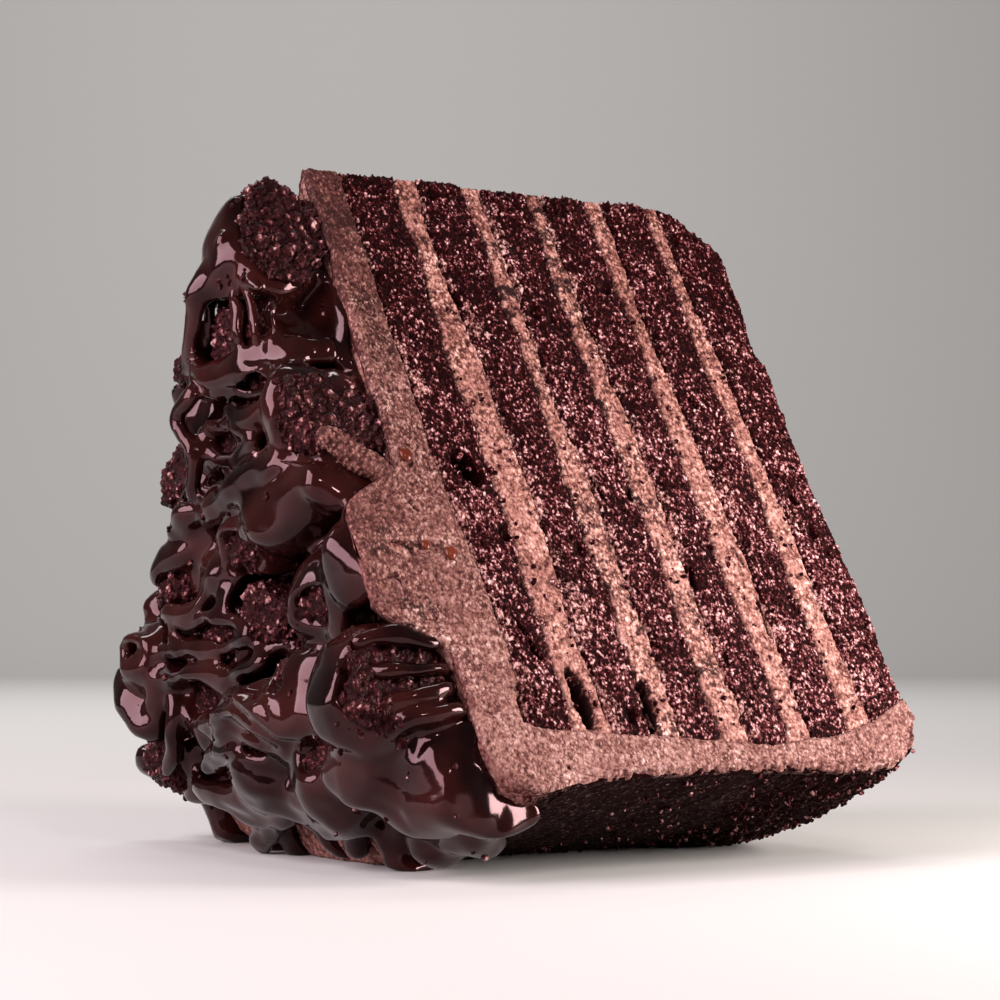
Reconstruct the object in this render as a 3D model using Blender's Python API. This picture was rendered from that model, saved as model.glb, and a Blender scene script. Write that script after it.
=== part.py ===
"""One slice of a tall chocolate fudge layer cake, standing on its iced outer wall with its tip up.

Metres, +Z up. The cake's own axis lies along X: its top faces -X and its base +X. The cut that
faces -Y is the near one. Three lengths place everything on the slice, in millimetres: along, from
the top of the icing into the cake; out, the other way, through the topping; and down, from the
slice's tip towards the floor. Across is sideways from the cake's axis, plus on the far side.
"""

import math
from typing import NamedTuple

import bmesh
import bpy
from mathutils import Matrix, Vector, noise

MM = 0.001

# The slice: a sixth or so of a ten inch cake, six sponges high
CAKE_RADIUS = 127.0
INNER_RADIUS = 112.0
NEAR_CUT = -31.0
FAR_CUT = 25.0
AXIS_HEIGHT = 125.4
TIP_RADIUS = 0.9
CAKE_HEIGHT = 91.0
GAP = 0.3

# Where each layer ends, along from the top of the icing: sponge and filling by turns
LAYER_ENDS = (8.8, 18.7, 25.3, 34.0, 39.5, 48.0, 53.2, 61.6, 67.6, 76.3, 81.2, CAKE_HEIGHT)
LAYER_SWELL = 0.35
WAVE_HEIGHT = 0.32
BASE_WAVE_SHARE = 0.3
ICING_SLOPE = 1.6
TIP_CRUMBLE = 7.0

# The wall of icing: its inner and outer radius, along the cake
INNER_WALL = (
    (0.0, 116.5), (19.0, 118.0), (35.0, 119.5), (58.0, 121.6), (72.0, 120.6), (82.0, 118.0), (91.0, 113.5),
)
OUTER_WALL = (
    (0.0, 119.5), (1.2, 123.2), (3.5, 126.6), (7.5, 128.9), (13.0, 128.0), (22.0, 126.8), (40.0, 126.2),
    (60.0, 126.4), (76.0, 127.2), (84.0, 126.6), (89.0, 123.6), (92.0, 118.0),
)
WALL_GAP = 0.4

# The flap of icing that the knife pushed up over the topping, at the near cut
FLAP_HEIGHT = 12.5
FLAP_WIDTH = 7.5
FLAP_FLAT_WIDTH = 1.0
FLAP_FROM, FLAP_FULL_FROM, FLAP_FULL_TO, FLAP_TO = 61.0, 71.0, 93.0, 104.0

# The fudge poured over the chunks: a coat on each, and a sheet between them that ends at the rim
COAT = 1.5
COATED_SHARE = 1.1
SHEET_DEPTH = 3.8
SHEET_UNDER = 2.0
SHEET_END = CAKE_RADIUS - 9.0
SHEET_STEPS = 16
FUDGE_VOXEL = 1.5
FUDGE_SHARE_KEPT = 0.08
FUDGE_SMOOTHING = 4
STRAND_STEPS = 14
MERGE = 0.001
FLAT_ANGLE = 0.005

# How far the cutters reach past the cuts, the rim and the icing, and clear what they make room for
PAST_CUT_ANGLE = 4.0
PAST_RIM = 14.0
PAST_BASE = 12.0
PAST_TOP = 60.0
ROOM_PAST_CUTS = 1.5
ROOM_UNDER_ICING = 0.7
CORE_TIP, TRIMMED_TIP = 0.5, 0.4
MESH_CLEARANCE = 0.05

LAYER_ANGLE_STEPS = 6
LAYER_RADIUS_STEPS = 7
ICING_ANGLE_STEPS = 16
ICING_RADIUS_STEPS = 18
FLAP_ANGLE_STEP = 1.5


class Chunk(NamedTuple):
    """A broken piece of sponge in the topping: its centre, half sizes, turn in degrees, and its bare side.

    Where window is over 0, the fudge is open above the bare side as a round hollow of that radius.
    Elsewhere the chunk pokes through the fudge there.
    """

    name: str
    out: float
    across: float
    down: float
    half: tuple
    turn: tuple
    bare: tuple
    window: float = 0.0


CHUNKS = (
    Chunk("chunk_01", 7.8, -4.0, 15.6, (8.8, 12.0, 10.4), (0, 34, 0), (0.1, -1.0, -0.1)),
    Chunk("chunk_02", 11.5, -2.5, 32.4, (6.0, 7.0, 5.0), (12, 8, 10), (1.0, 0.2, -0.3)),
    Chunk("chunk_03", 10.0, 13.0, 37.0, (6.8, 5.4, 5.6), (-14, 20, 8), (0.9, 0.6, 0.2)),
    Chunk("chunk_04", 8.8, -8.0, 42.0, (6.4, 5.4, 3.8), (6, -10, 4), (1.0, -0.3, -0.4)),
    Chunk("chunk_05", 8.2, -24.6, 48.0, (8.8, 7.2, 7.8), (4, -8, 6), (0.25, -1.0, 0.1)),
    Chunk("chunk_06", 8.6, -1.0, 52.8, (6.8, 7.0, 6.0), (10, 12, -8), (1.0, 0.0, -0.1), 5.0),
    Chunk("chunk_07", 9.4, 19.4, 57.5, (7.2, 6.6, 7.4), (-8, 16, 12), (0.8, 0.7, -0.1)),
    Chunk("chunk_08", 8.6, -5.0, 68.8, (6.8, 8.0, 6.6), (6, 4, 14), (1.0, -0.2, 0.5), 4.8),
    Chunk("chunk_09", 6.6, -27.0, 79.4, (6.8, 6.2, 6.8), (-6, 10, 6), (0.9, -0.4, 0.3), 4.2),
    Chunk("chunk_10", 7.0, -10.0, 82.4, (7.0, 7.4, 5.6), (8, -6, 10), (1.0, -0.4, 0.0)),
    Chunk("chunk_11", 9.4, 20.0, 76.6, (7.6, 7.4, 6.4), (10, 14, -6), (0.9, 0.3, 0.4)),
    Chunk("chunk_12", 8.4, 6.0, 87.0, (6.4, 7.0, 5.2), (4, 6, 8), (1.0, -0.2, -0.1), 5.4),
    Chunk("chunk_13", 9.4, -47.0, 94.0, (9.4, 10.0, 9.0), (6, 12, -10), (0.0, -1.0, -0.4)),
    Chunk("chunk_14", 9.6, -23.5, 94.0, (5.6, 7.0, 4.8), (-5, 8, 4), (1.0, -0.4, -0.4)),
    Chunk("chunk_15", 12.4, 26.5, 91.0, (8.0, 7.4, 7.2), (12, 18, 10), (1.0, 0.3, -0.3), 5.2),
    Chunk("chunk_16", 8.8, 10.5, 99.6, (6.6, 6.8, 5.6), (-8, 6, 12), (1.0, -0.2, -0.4), 5.2),
    Chunk("chunk_17", 7.4, -8.5, 107.6, (7.2, 7.8, 6.6), (6, -4, 8), (1.0, -0.3, -0.3)),
    Chunk("chunk_18", 8.6, 26.4, 108.6, (7.8, 8.0, 7.0), (10, 16, -12), (0.9, 0.4, 0.2)),
    Chunk("chunk_19", 8.0, 40.5, 97.0, (7.4, 6.0, 7.4), (8, -10, 6), (0.4, 1.0, 0.0)),
    Chunk("chunk_20", 6.8, -27.5, 108.5, (6.2, 7.4, 6.2), (-6, 6, 8), (0.7, -0.8, -0.3)),
)
CHUNK_ROUGHNESS = 0.9
CHUNK_ROUGH_SCALE = 1.9
CHUNK_SEED_SCALE = 0.37
CHUNK_SQUARENESS = 3.4
CHUNK_CUTS = 2
CHUNK_INSIDE_CUTS = 0.15
POKE = 2.6
WINDOW_RISE = 0.45
HALF_COLUMN = 4.0


class Lump(NamedTuple):
    """A rounded swelling of fudge, such as a piece that it covers all over: its centre and half sizes."""

    out: float
    across: float
    down: float
    half: tuple


LUMPS = (
    Lump(8.5, -13.5, 36.0, (8.0, 7.6, 5.8)),
    Lump(8.5, 11.0, 48.0, (8.6, 8.4, 7.6)),
    Lump(11.0, -8.0, 46.5, (7.4, 10.0, 4.8)),
    Lump(7.0, -27.5, 61.0, (8.6, 8.4, 5.4)),
    Lump(9.5, -17.0, 64.0, (9.6, 10.5, 8.6)),
    Lump(12.5, 12.5, 67.0, (5.4, 5.6, 7.4)),
    Lump(9.0, 4.0, 76.0, (8.4, 9.0, 6.6)),
    Lump(14.0, 19.5, 72.6, (4.6, 5.4, 4.4)),
    Lump(10.0, -22.0, 99.5, (8.8, 11.0, 6.4)),
    Lump(8.4, -42.0, 108.0, (8.2, 9.6, 7.0)),
    Lump(3.4, -48.0, 110.0, (6.6, 12.0, 9.0)),
    Lump(2.6, -56.0, 103.0, (4.6, 9.0, 9.0)),
    Lump(9.0, -38.0, 73.0, (6.4, 7.0, 8.0)),
    Lump(5.6, -22.0, 114.0, (6.2, 12.0, 6.4)),
    Lump(5.0, 3.0, 114.5, (6.0, 9.0, 5.6)),
    Lump(8.6, 33.0, 82.0, (7.0, 6.4, 6.4)),
    Lump(5.4, 26.0, 66.0, (6.4, 6.6, 7.0)),
    Lump(5.0, 45.0, 108.0, (6.4, 8.0, 6.6)),
)


class Strand(NamedTuple):
    """A thick thread of fudge, as its points (out, across, down) and its radius."""

    radius: float
    points: tuple


STRANDS = (
    Strand(2.3, ((19.0, 4.0, 38.5), (17.5, -6.0, 40.2), (13.5, -15.0, 40.6), (8.0, -22.0, 41.6))),
    Strand(2.1, ((20.0, 0.0, 22.0), (18.6, 5.0, 33.0), (16.5, 13.0, 43.0), (14.0, 15.0, 52.0))),
    Strand(3.6, ((15.5, 5.0, 62.5), (16.0, -8.0, 59.5), (14.5, -19.0, 56.5), (9.0, -28.0, 55.0))),
    Strand(2.0, ((17.0, 24.0, 80.0), (15.5, 12.0, 81.6), (13.5, -2.0, 81.0), (11.5, -14.0, 78.0))),
    Strand(2.2, ((17.5, 24.0, 99.0), (16.0, 12.0, 92.6), (14.6, 0.0, 93.4), (13.5, -12.0, 90.0))),
    Strand(3.2, ((16.6, 4.0, 101.0), (16.8, -9.0, 98.8), (15.5, -21.0, 98.0), (12.0, -32.0, 99.0))),
    Strand(2.8, ((14.0, 6.0, 108.0), (13.6, -7.0, 104.0), (12.4, -19.0, 104.8), (9.0, -30.0, 106.0))),
    Strand(2.6, ((12.6, 15.0, 113.0), (11.4, 5.0, 113.6), (9.5, -6.0, 112.4), (7.0, -16.0, 113.0))),
)

# Runs of fudge that come over the rim, down towards the floor: how far across, how thick and how far along
DRIPS = (
    (34.0, 3.4, 6.0), (14.0, 2.6, 9.0), (4.0, 2.2, 8.0), (-11.0, 2.6, 10.0), (-31.0, 4.2, 8.0),
    (-42.0, 5.0, 5.0), (-53.0, 5.0, 3.5),
)

COLOURS = {
    "sponge": (0.060, 0.018, 0.016),
    "filling": (0.255, 0.105, 0.075),
    "icing": (0.200, 0.085, 0.064),
    "fudge": (0.030, 0.010, 0.008),
    "chunk": (0.045, 0.014, 0.012),
}
ROUGHNESS = {"sponge": 0.85, "filling": 0.55, "icing": 0.5, "fudge": 0.12, "chunk": 0.8}


def clear_scene():
    """Removes what the scene starts with."""
    for obj in list(bpy.data.objects):
        bpy.data.objects.remove(obj)


def material(kind):
    """The material of one kind of food, made once."""
    found = bpy.data.materials.get(kind)
    if found:
        return found
    made = bpy.data.materials.new(kind)
    made.use_nodes = True
    shader = made.node_tree.nodes["Principled BSDF"]
    shader.inputs["Base Color"].default_value = (*COLOURS[kind], 1.0)
    shader.inputs["Roughness"].default_value = ROUGHNESS[kind]
    shader.inputs["Metallic"].default_value = 0.0
    return made


def place(out, across, down):
    """The point in metres that lies out from the top icing, across from the axis and down from the tip."""
    return Vector((-out, across, AXIS_HEIGHT - down)) * MM


def between(pairs, at):
    """The value at a place, on straight lines through pairs of place and value."""
    if at <= pairs[0][0]:
        return pairs[0][1]
    for (low, first), (high, second) in zip(pairs, pairs[1:]):
        if at <= high:
            return first + (second - first) * (at - low) / (high - low)
    return pairs[-1][1]


def ease(low, high, at):
    """Rises smoothly from 0 at low to 1 at high."""
    share = min(1.0, max(0.0, (at - low) / (high - low)))
    return share * share * (3.0 - 2.0 * share)


def wave(number, radius, angle):
    """How far boundary number rises or falls at a place, from three slow sine waves of its own phase."""
    phase = 1.7 * number
    along_cut = math.sin(radius / 13.0 + phase) + 0.6 * math.sin(radius / 6.1 + 2.3 * phase)
    return WAVE_HEIGHT * (along_cut + 0.7 * math.sin(math.radians(angle) * 5.0 + phase))


def boundary(number):
    """The surface between two layers as a function of radius and angle. Number 0 is under the top icing."""

    def along(radius, angle):
        level = LAYER_ENDS[number]
        if number == 0:
            level += ICING_SLOPE * (2.0 * ease(0.0, CAKE_RADIUS, radius) - 1.0)
        if number == len(LAYER_ENDS) - 1:
            return level + BASE_WAVE_SHARE * wave(number, radius, angle)
        return level + wave(number, radius, angle)

    return along


def flap(radius, angle):
    """How far out the icing stands at the near cut, where the knife pushed it over the topping."""
    from_cut = radius * math.sin(math.radians(angle - NEAR_CUT))
    along_cut = ease(FLAP_FROM, FLAP_FULL_FROM, radius) * (1.0 - ease(FLAP_FULL_TO, FLAP_TO, radius))
    return FLAP_HEIGHT * along_cut * (1.0 - ease(FLAP_FLAT_WIDTH, FLAP_WIDTH, from_cut))


def tip_radius(along):
    """How far the solids keep from the cake's axis: little, but more where the last sponge has crumbled."""
    return TIP_RADIUS + TIP_CRUMBLE * ease(LAYER_ENDS[-2], CAKE_HEIGHT, along)


def steps(low, high, count):
    """Count + 1 even places from low to high."""
    return [low + (high - low) * i / count for i in range(count + 1)]


def add_mesh(name, bm, kind):
    """A named object of that kind of food, from a bmesh in millimetres whose faces are turned outwards.

    Its quads are split alike on every body, so that bodies which follow one surface don't cross.
    """
    bmesh.ops.triangulate(bm, faces=bm.faces, quad_method="FIXED")
    bmesh.ops.recalc_face_normals(bm, faces=bm.faces)
    bmesh.ops.scale(bm, vec=(MM, MM, MM), verts=bm.verts)
    mesh = bpy.data.meshes.new(name)
    bm.to_mesh(mesh)
    bm.free()
    mesh.materials.append(material(kind))
    obj = bpy.data.objects.new(name, mesh)
    bpy.context.scene.collection.objects.link(obj)
    return obj


def as_helper(obj):
    """Marks a cutter, which is no part of the cake."""
    obj.hide_render = True
    obj.display_type = "WIRE"
    return obj


def mix(first, second, share):
    """The value a share of the way from first to second."""
    return first + (second - first) * share


def sector_block(name, kind, low, high, tip, rim, angles, radius_steps, shares, floor=0.0, swell=0.0):
    """A wedge-shaped block between two surfaces: a grid over angle, radius and depth, whose skin is kept.

    Low and high give the along of each end surface at a radius and angle, and shares the depths between
    them. Tip and rim give the least and the greatest radius at an along; the columns between those two
    stand at the same radii on every block. No point lies lower than floor. Swell is how far the cuts
    stand out at mid depth.
    """
    count_a, count_r, count_d = len(angles) - 1, radius_steps, len(shares) - 1
    bm = bmesh.new()
    verts = {}

    def vertex(i, j, k):
        if (i, j, k) not in verts:
            angle, share = angles[i], shares[k]
            radius = mix(TIP_RADIUS, INNER_RADIUS, j / count_r)
            if j == 0:
                radius = tip(mix(low(0.0, angle), high(0.0, angle), share))
            if j == count_r:
                radius = rim(mix(low(CAKE_RADIUS, angle), high(CAKE_RADIUS, angle), share))
            along = mix(low(radius, angle), high(radius, angle), share)
            side = math.radians(angle)
            puff = swell * math.sin(math.pi * share) * ((i == count_a) - (i == 0)) * math.cos(side)
            height = max(floor, AXIS_HEIGHT - radius * math.cos(side))
            verts[i, j, k] = bm.verts.new((along, radius * math.sin(side) + puff, height))
        return verts[i, j, k]

    def skin(*corners):
        bm.faces.new([vertex(*corner) for corner in corners])

    for i in range(count_a):
        for j in range(count_r):
            for k in (0, count_d):
                skin((i, j, k), (i + 1, j, k), (i + 1, j + 1, k), (i, j + 1, k))
    for k in range(count_d):
        for i in range(count_a):
            for j in (0, count_r):
                skin((i, j, k), (i + 1, j, k), (i + 1, j, k + 1), (i, j, k + 1))
        for j in range(count_r):
            for i in (0, count_a):
                skin((i, j, k), (i, j + 1, k), (i, j + 1, k + 1), (i, j, k + 1))
    return add_mesh(name, bm, kind)


def make_layer(number):
    """One sponge or filling, clear of its neighbours by GAP."""
    is_sponge = number % 2 == 0
    name = ("sponge_" if is_sponge else "filling_") + str(number // 2 + 1)
    low, high = boundary(number), boundary(number + 1)
    return sector_block(
        name,
        "sponge" if is_sponge else "filling",
        lambda radius, angle: low(radius, angle) + GAP / 2,
        lambda radius, angle: high(radius, angle) - GAP / 2,
        tip_radius,
        lambda along: between(INNER_WALL, along) - WALL_GAP,
        steps(NEAR_CUT, FAR_CUT, LAYER_ANGLE_STEPS),
        LAYER_RADIUS_STEPS,
        (0.0, 0.5, 1.0) if is_sponge else (0.0, 1.0),
        swell=LAYER_SWELL if is_sponge else 0.0,
    )


def icing_block(name, offset, angles):
    """The whole outer form of the icing, grown by offset, from the flap on its top to the cake's base."""
    first, last = OUTER_WALL[0][0], OUTER_WALL[-1][0]
    return sector_block(
        name,
        "icing",
        lambda radius, angle: first - flap(radius, angle) - offset,
        lambda radius, angle: last,
        lambda along: TIP_RADIUS,
        lambda along: between(OUTER_WALL, (along + offset) * last / (last + offset)) + offset,
        angles,
        ICING_RADIUS_STEPS,
        [along / last for along, _ in OUTER_WALL],
        floor=-offset,
    )


def wall_angles():
    """Angles of the icing's grid: even, with two more close to the near cut, where the flap stands."""
    even = steps(NEAR_CUT, FAR_CUT, ICING_ANGLE_STEPS)
    return [even[0], even[0] + FLAP_ANGLE_STEP, even[1], even[1] + FLAP_ANGLE_STEP, *even[2:]]


def cut(obj, cutter, name, operation="DIFFERENCE", solver="EXACT"):
    """Adds a Boolean modifier to an object."""
    modifier = obj.modifiers.new(name, "BOOLEAN")
    modifier.operation = operation
    modifier.solver = solver
    modifier.object = cutter
    return modifier


def make_icing():
    """The coat over the top and down the wall: the outer form, less the room that the layers take."""
    icing = icing_block("icing", 0.0, wall_angles())
    under, top, end = boundary(0), LAYER_ENDS[0] + ICING_SLOPE, CAKE_HEIGHT + PAST_BASE
    core = sector_block(
        "core_room",
        "sponge",
        lambda radius, angle: under(radius, angle) - GAP / 2,
        lambda radius, angle: end,
        lambda along: CORE_TIP,
        lambda along: between(INNER_WALL, along),
        [NEAR_CUT - PAST_CUT_ANGLE, *steps(NEAR_CUT, FAR_CUT, LAYER_ANGLE_STEPS), FAR_CUT + PAST_CUT_ANGLE],
        LAYER_RADIUS_STEPS,
        (0.0, *[(along - top) / (end - top) for along, _ in INNER_WALL[1:]], 1.0),
    )
    cut(icing, as_helper(core), "room for the layers")
    return applied(icing)


def chunk_turn(chunk):
    """The rotation of a chunk: about the out, across and down directions in turn."""
    about_out, about_across, about_down = (math.radians(a) for a in chunk.turn)
    turned = Matrix.Rotation(about_out, 4, "X") @ Matrix.Rotation(about_across, 4, "Y")
    return turned @ Matrix.Rotation(about_down, 4, "Z")


def squeeze_into_slice(point, inside_cuts, above_icing):
    """The point in millimetres, moved so far inside both cuts and so far out from the top icing.

    The icing runs straight between its columns, so its flap is read half a column away, and nearer the cut.
    """
    x, across, height = point
    down = AXIS_HEIGHT - height
    for angle, sign in ((NEAR_CUT, -1.0), (FAR_CUT, 1.0)):
        side = math.radians(angle)
        normal = Vector((sign * math.cos(side), -sign * math.sin(side)))
        past = across * normal.x + down * normal.y + inside_cuts
        if past > 0.0:
            across -= past * normal.x
            down -= past * normal.y
    radius, angle = math.hypot(across, down), math.degrees(math.atan2(across, max(down, 0.001)))
    rise = max(flap(radius + step, angle - FLAP_ANGLE_STEP) for step in (-HALF_COLUMN, HALF_COLUMN))
    return Vector((min(x, -rise - above_icing), across, AXIS_HEIGHT - down))


def chunk_mesh(chunk, name, grown, inside_cuts, above_icing):
    """A chunk as a squarish pebble with an uneven skin, cut off where the slice was cut."""
    bm = bmesh.new()
    bmesh.ops.create_cube(bm, size=2.0)
    bmesh.ops.subdivide_edges(bm, edges=bm.edges, cuts=CHUNK_CUTS, use_grid_fill=True)
    turn = chunk_turn(chunk)
    centre = place(chunk.out, chunk.across, chunk.down) / MM
    seed = Vector((chunk.down, chunk.out, chunk.across)) * CHUNK_SEED_SCALE
    for vert in bm.verts:
        corner = vert.co.copy()
        length = sum(abs(c) ** CHUNK_SQUARENESS for c in corner) ** (1.0 / CHUNK_SQUARENESS)
        unit = corner / length
        rough = CHUNK_ROUGHNESS * noise.noise(unit * CHUNK_ROUGH_SCALE + seed)
        sized = Vector(unit[i] * (chunk.half[i] + grown + rough) for i in range(3))
        vert.co = squeeze_into_slice(centre + turn @ sized, inside_cuts, above_icing)
    return add_mesh(name, bm, "chunk")


def make_chunk(chunk):
    """One chunk node."""
    return chunk_mesh(chunk, chunk.name, 0.0, CHUNK_INSIDE_CUTS, GAP + MESH_CLEARANCE)


def bare_way(chunk):
    """The direction of a chunk's bare side, and how far the chunk reaches that way."""
    out, across, down = chunk.bare
    way = Vector((-out, across, -down)).normalized()
    return way, 1.0 / math.sqrt(sum((way[i] / chunk.half[i]) ** 2 for i in range(3)))


def chunk_rooms(chunk):
    """The cutters that clear the fudge for a chunk, and open it over a recessed bare side."""
    grown = GAP + MESH_CLEARANCE
    rooms = [chunk_mesh(chunk, chunk.name + "_room", grown, -ROOM_PAST_CUTS, -ROOM_UNDER_ICING)]
    if chunk.window:
        way, reach = bare_way(chunk)
        bm = bmesh.new()
        centre = place(chunk.out, chunk.across, chunk.down) / MM
        add_ellipsoid(bm, centre + way * (reach + WINDOW_RISE * chunk.window), (chunk.window,) * 3, detail=2)
        rooms.append(add_mesh(chunk.name + "_window", bm, "fudge"))
    return [as_helper(room) for room in rooms]


def add_ellipsoid(bm, centre, half, turn=None, detail=3):
    """Adds an ellipsoid to a bmesh in millimetres."""
    matrix = Matrix.Translation(centre) @ (turn or Matrix.Identity(4)) @ Matrix.Diagonal((*half, 1.0))
    bmesh.ops.create_icosphere(bm, subdivisions=detail, radius=1.0, matrix=matrix)


def strand_places(strand):
    """Even places on a smooth curve through a strand's points, in millimetres."""
    points = [place(*p) / MM for p in strand.points]
    points = [2 * points[0] - points[1], *points, 2 * points[-1] - points[-2]]
    found = []
    for at in steps(0.0, len(points) - 3, STRAND_STEPS):
        first = min(int(at), len(points) - 4)
        t = at - first
        p0, p1, p2, p3 = points[first : first + 4]
        bend = 2 * p0 - 5 * p1 + 4 * p2 - p3
        found.append((2 * p1 + (p2 - p0) * t + bend * t * t + (3 * (p1 - p2) + p3 - p0) * t**3) / 2)
    return found


def fudge_masses(bm):
    """Fills a bmesh with the bodies that the fudge is the union of, in millimetres."""
    for chunk in CHUNKS:
        way, _ = bare_way(chunk)
        centre = place(chunk.out, chunk.across, chunk.down) / MM
        if not chunk.window:
            centre -= POKE * way
        add_ellipsoid(bm, centre, [COATED_SHARE * h + COAT for h in chunk.half], chunk_turn(chunk))
    for lump in LUMPS:
        add_ellipsoid(bm, place(lump.out, lump.across, lump.down) / MM, lump.half)
    for strand in STRANDS:
        for point in strand_places(strand):
            add_ellipsoid(bm, point, (strand.radius,) * 3)


def add_sheet(bm):
    """Adds the fudge that lies between the chunks, as a slab over the top icing."""
    rows = []
    for angle in steps(NEAR_CUT - 1.0, FAR_CUT + 1.0, SHEET_STEPS):
        side = math.radians(angle)
        ring = []
        for radius in steps(TIP_RADIUS + 2.0, SHEET_END, SHEET_STEPS):
            spot = (radius * math.sin(side), AXIS_HEIGHT - radius * math.cos(side))
            rise = flap(radius, angle)
            ring.append([bm.verts.new((x - rise, *spot)) for x in (SHEET_UNDER, -SHEET_DEPTH)])
        rows.append(ring)
    last_i, last_j = len(rows) - 1, len(rows[0]) - 1
    for i in range(last_i):
        for j in range(last_j):
            for s in (0, 1):
                bm.faces.new([rows[a][b][s] for a, b in ((i, j), (i + 1, j), (i + 1, j + 1), (i, j + 1))])
        for j in (0, last_j):
            bm.faces.new([rows[i][j][0], rows[i + 1][j][0], rows[i + 1][j][1], rows[i][j][1]])
    for j in range(last_j):
        for i in (0, last_i):
            bm.faces.new([rows[i][j][0], rows[i][j + 1][0], rows[i][j + 1][1], rows[i][j][1]])


def add_drips(bm):
    """Adds the runs that come over the rim: rows of balls from the top face to the floor."""
    for across, thick, reach in DRIPS:
        edge = math.sqrt(CAKE_RADIUS**2 - across**2)
        turn = (
            (3.0, edge - 14.0), (1.5, edge - 9.0), (-0.05 * reach, edge - 5.0), (-0.2 * reach, edge - 2.0),
            (-0.45 * reach, edge + 0.4), (-0.8 * reach, edge + 1.0),
        )
        for out, down in turn:
            add_ellipsoid(bm, place(out, across, down) / MM, (thick, 1.15 * thick, thick))


def applied(obj):
    """Turns an object's modifiers into its mesh, and keeps its largest body alone."""
    graph = bpy.context.evaluated_depsgraph_get()
    mesh = bpy.data.meshes.new_from_object(obj.evaluated_get(graph))
    obj.modifiers.clear()
    obj.data = mesh
    bm = bmesh.new()
    bm.from_mesh(mesh)
    left, bodies = set(bm.verts), []
    while left:
        body, front = set(), [left.pop()]
        while front:
            vert = front.pop()
            body.add(vert)
            for edge in vert.link_edges:
                other = edge.other_vert(vert)
                if other in left:
                    left.discard(other)
                    front.append(other)
        bodies.append(body)
    bodies.sort(key=len)
    bmesh.ops.delete(bm, geom=[v for body in bodies[:-1] for v in body], context="VERTS")
    bmesh.ops.remove_doubles(bm, verts=bm.verts, dist=MERGE * MM)
    bmesh.ops.triangulate(bm, faces=bm.faces)
    bmesh.ops.dissolve_limit(bm, angle_limit=FLAT_ANGLE, verts=bm.verts, edges=bm.edges)
    bmesh.ops.triangulate(bm, faces=bm.faces)
    bm.to_mesh(mesh)
    bm.free()
    return obj


def trimming_wedge():
    """A wedge between the two cuts, down to the floor, that the fudge may not leave."""
    return sector_block(
        "slice_room",
        "icing",
        lambda radius, angle: -PAST_TOP,
        lambda radius, angle: CAKE_HEIGHT,
        lambda along: TRIMMED_TIP,
        lambda along: CAKE_RADIUS + PAST_RIM,
        steps(NEAR_CUT, FAR_CUT, ICING_ANGLE_STEPS),
        1,
        (0.0, 1.0),
    )


def make_fudge():
    """The poured fudge: its masses melted together, then cut clear of the icing and of the chunks.

    The cuts use the MANIFOLD solver, because EXACT leaves open edges on this many-sided body.
    """
    bm = bmesh.new()
    fudge_masses(bm)
    add_sheet(bm)
    add_drips(bm)
    fudge = add_mesh("fudge", bm, "fudge")
    remesh = fudge.modifiers.new("melt together", "REMESH")
    remesh.mode = "VOXEL"
    remesh.voxel_size = FUDGE_VOXEL * MM
    smooth = fudge.modifiers.new("smooth", "SMOOTH")
    smooth.factor = 0.5
    smooth.iterations = FUDGE_SMOOTHING
    thin = fudge.modifiers.new("fewer faces", "DECIMATE")
    thin.ratio = FUDGE_SHARE_KEPT
    wider = [NEAR_CUT - PAST_CUT_ANGLE, *wall_angles(), FAR_CUT + PAST_CUT_ANGLE]
    room = icing_block("icing_room", GAP + 2 * MESH_CLEARANCE, wider)
    cut(fudge, as_helper(room), "clear of the icing", solver="MANIFOLD")
    cut(fudge, as_helper(trimming_wedge()), "inside the slice", "INTERSECT", "MANIFOLD")
    for chunk in CHUNKS:
        for helper in chunk_rooms(chunk):
            cut(fudge, helper, helper.name, solver="MANIFOLD")
    return applied(fudge)


def centre_on_origin():
    """Moves every piece so that the origin is under the middle of the whole, on the floor."""
    bpy.context.view_layer.update()
    graph = bpy.context.evaluated_depsgraph_get()
    corners = []
    for obj in bpy.context.scene.objects:
        if not obj.hide_render:
            shown = obj.evaluated_get(graph)
            corners += [shown.matrix_world @ Vector(c) for c in shown.bound_box]
    middle = [(max(c[i] for c in corners) + min(c[i] for c in corners)) / 2 for i in range(3)]
    for obj in bpy.context.scene.objects:
        obj.location = Vector((-middle[0], -middle[1], 0.0))


def main():
    """Builds the slice."""
    clear_scene()
    for number in range(len(LAYER_ENDS) - 1):
        make_layer(number)
    make_icing()
    for chunk in CHUNKS:
        make_chunk(chunk)
    make_fudge()
    centre_on_origin()


main()
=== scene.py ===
"""Looks of a slice of chocolate fudge layer cake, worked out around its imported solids.

The slice stands on its iced wall with its tip up. Lengths here are millimetres, and a point is given by three
of them: out from the top icing through the topping, across from the cake's axis with plus on the far side, and
down from the slice's tip. Along is minus out. Angles are in degrees about the cake's axis, from straight down.
"""

import logging
import math
from dataclasses import dataclass, field
from enum import Enum
from typing import Any, Callable, NamedTuple

import bmesh
import bpy
import numpy as np
from mathutils import Matrix, Vector
from numpy.typing import NDArray


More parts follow.
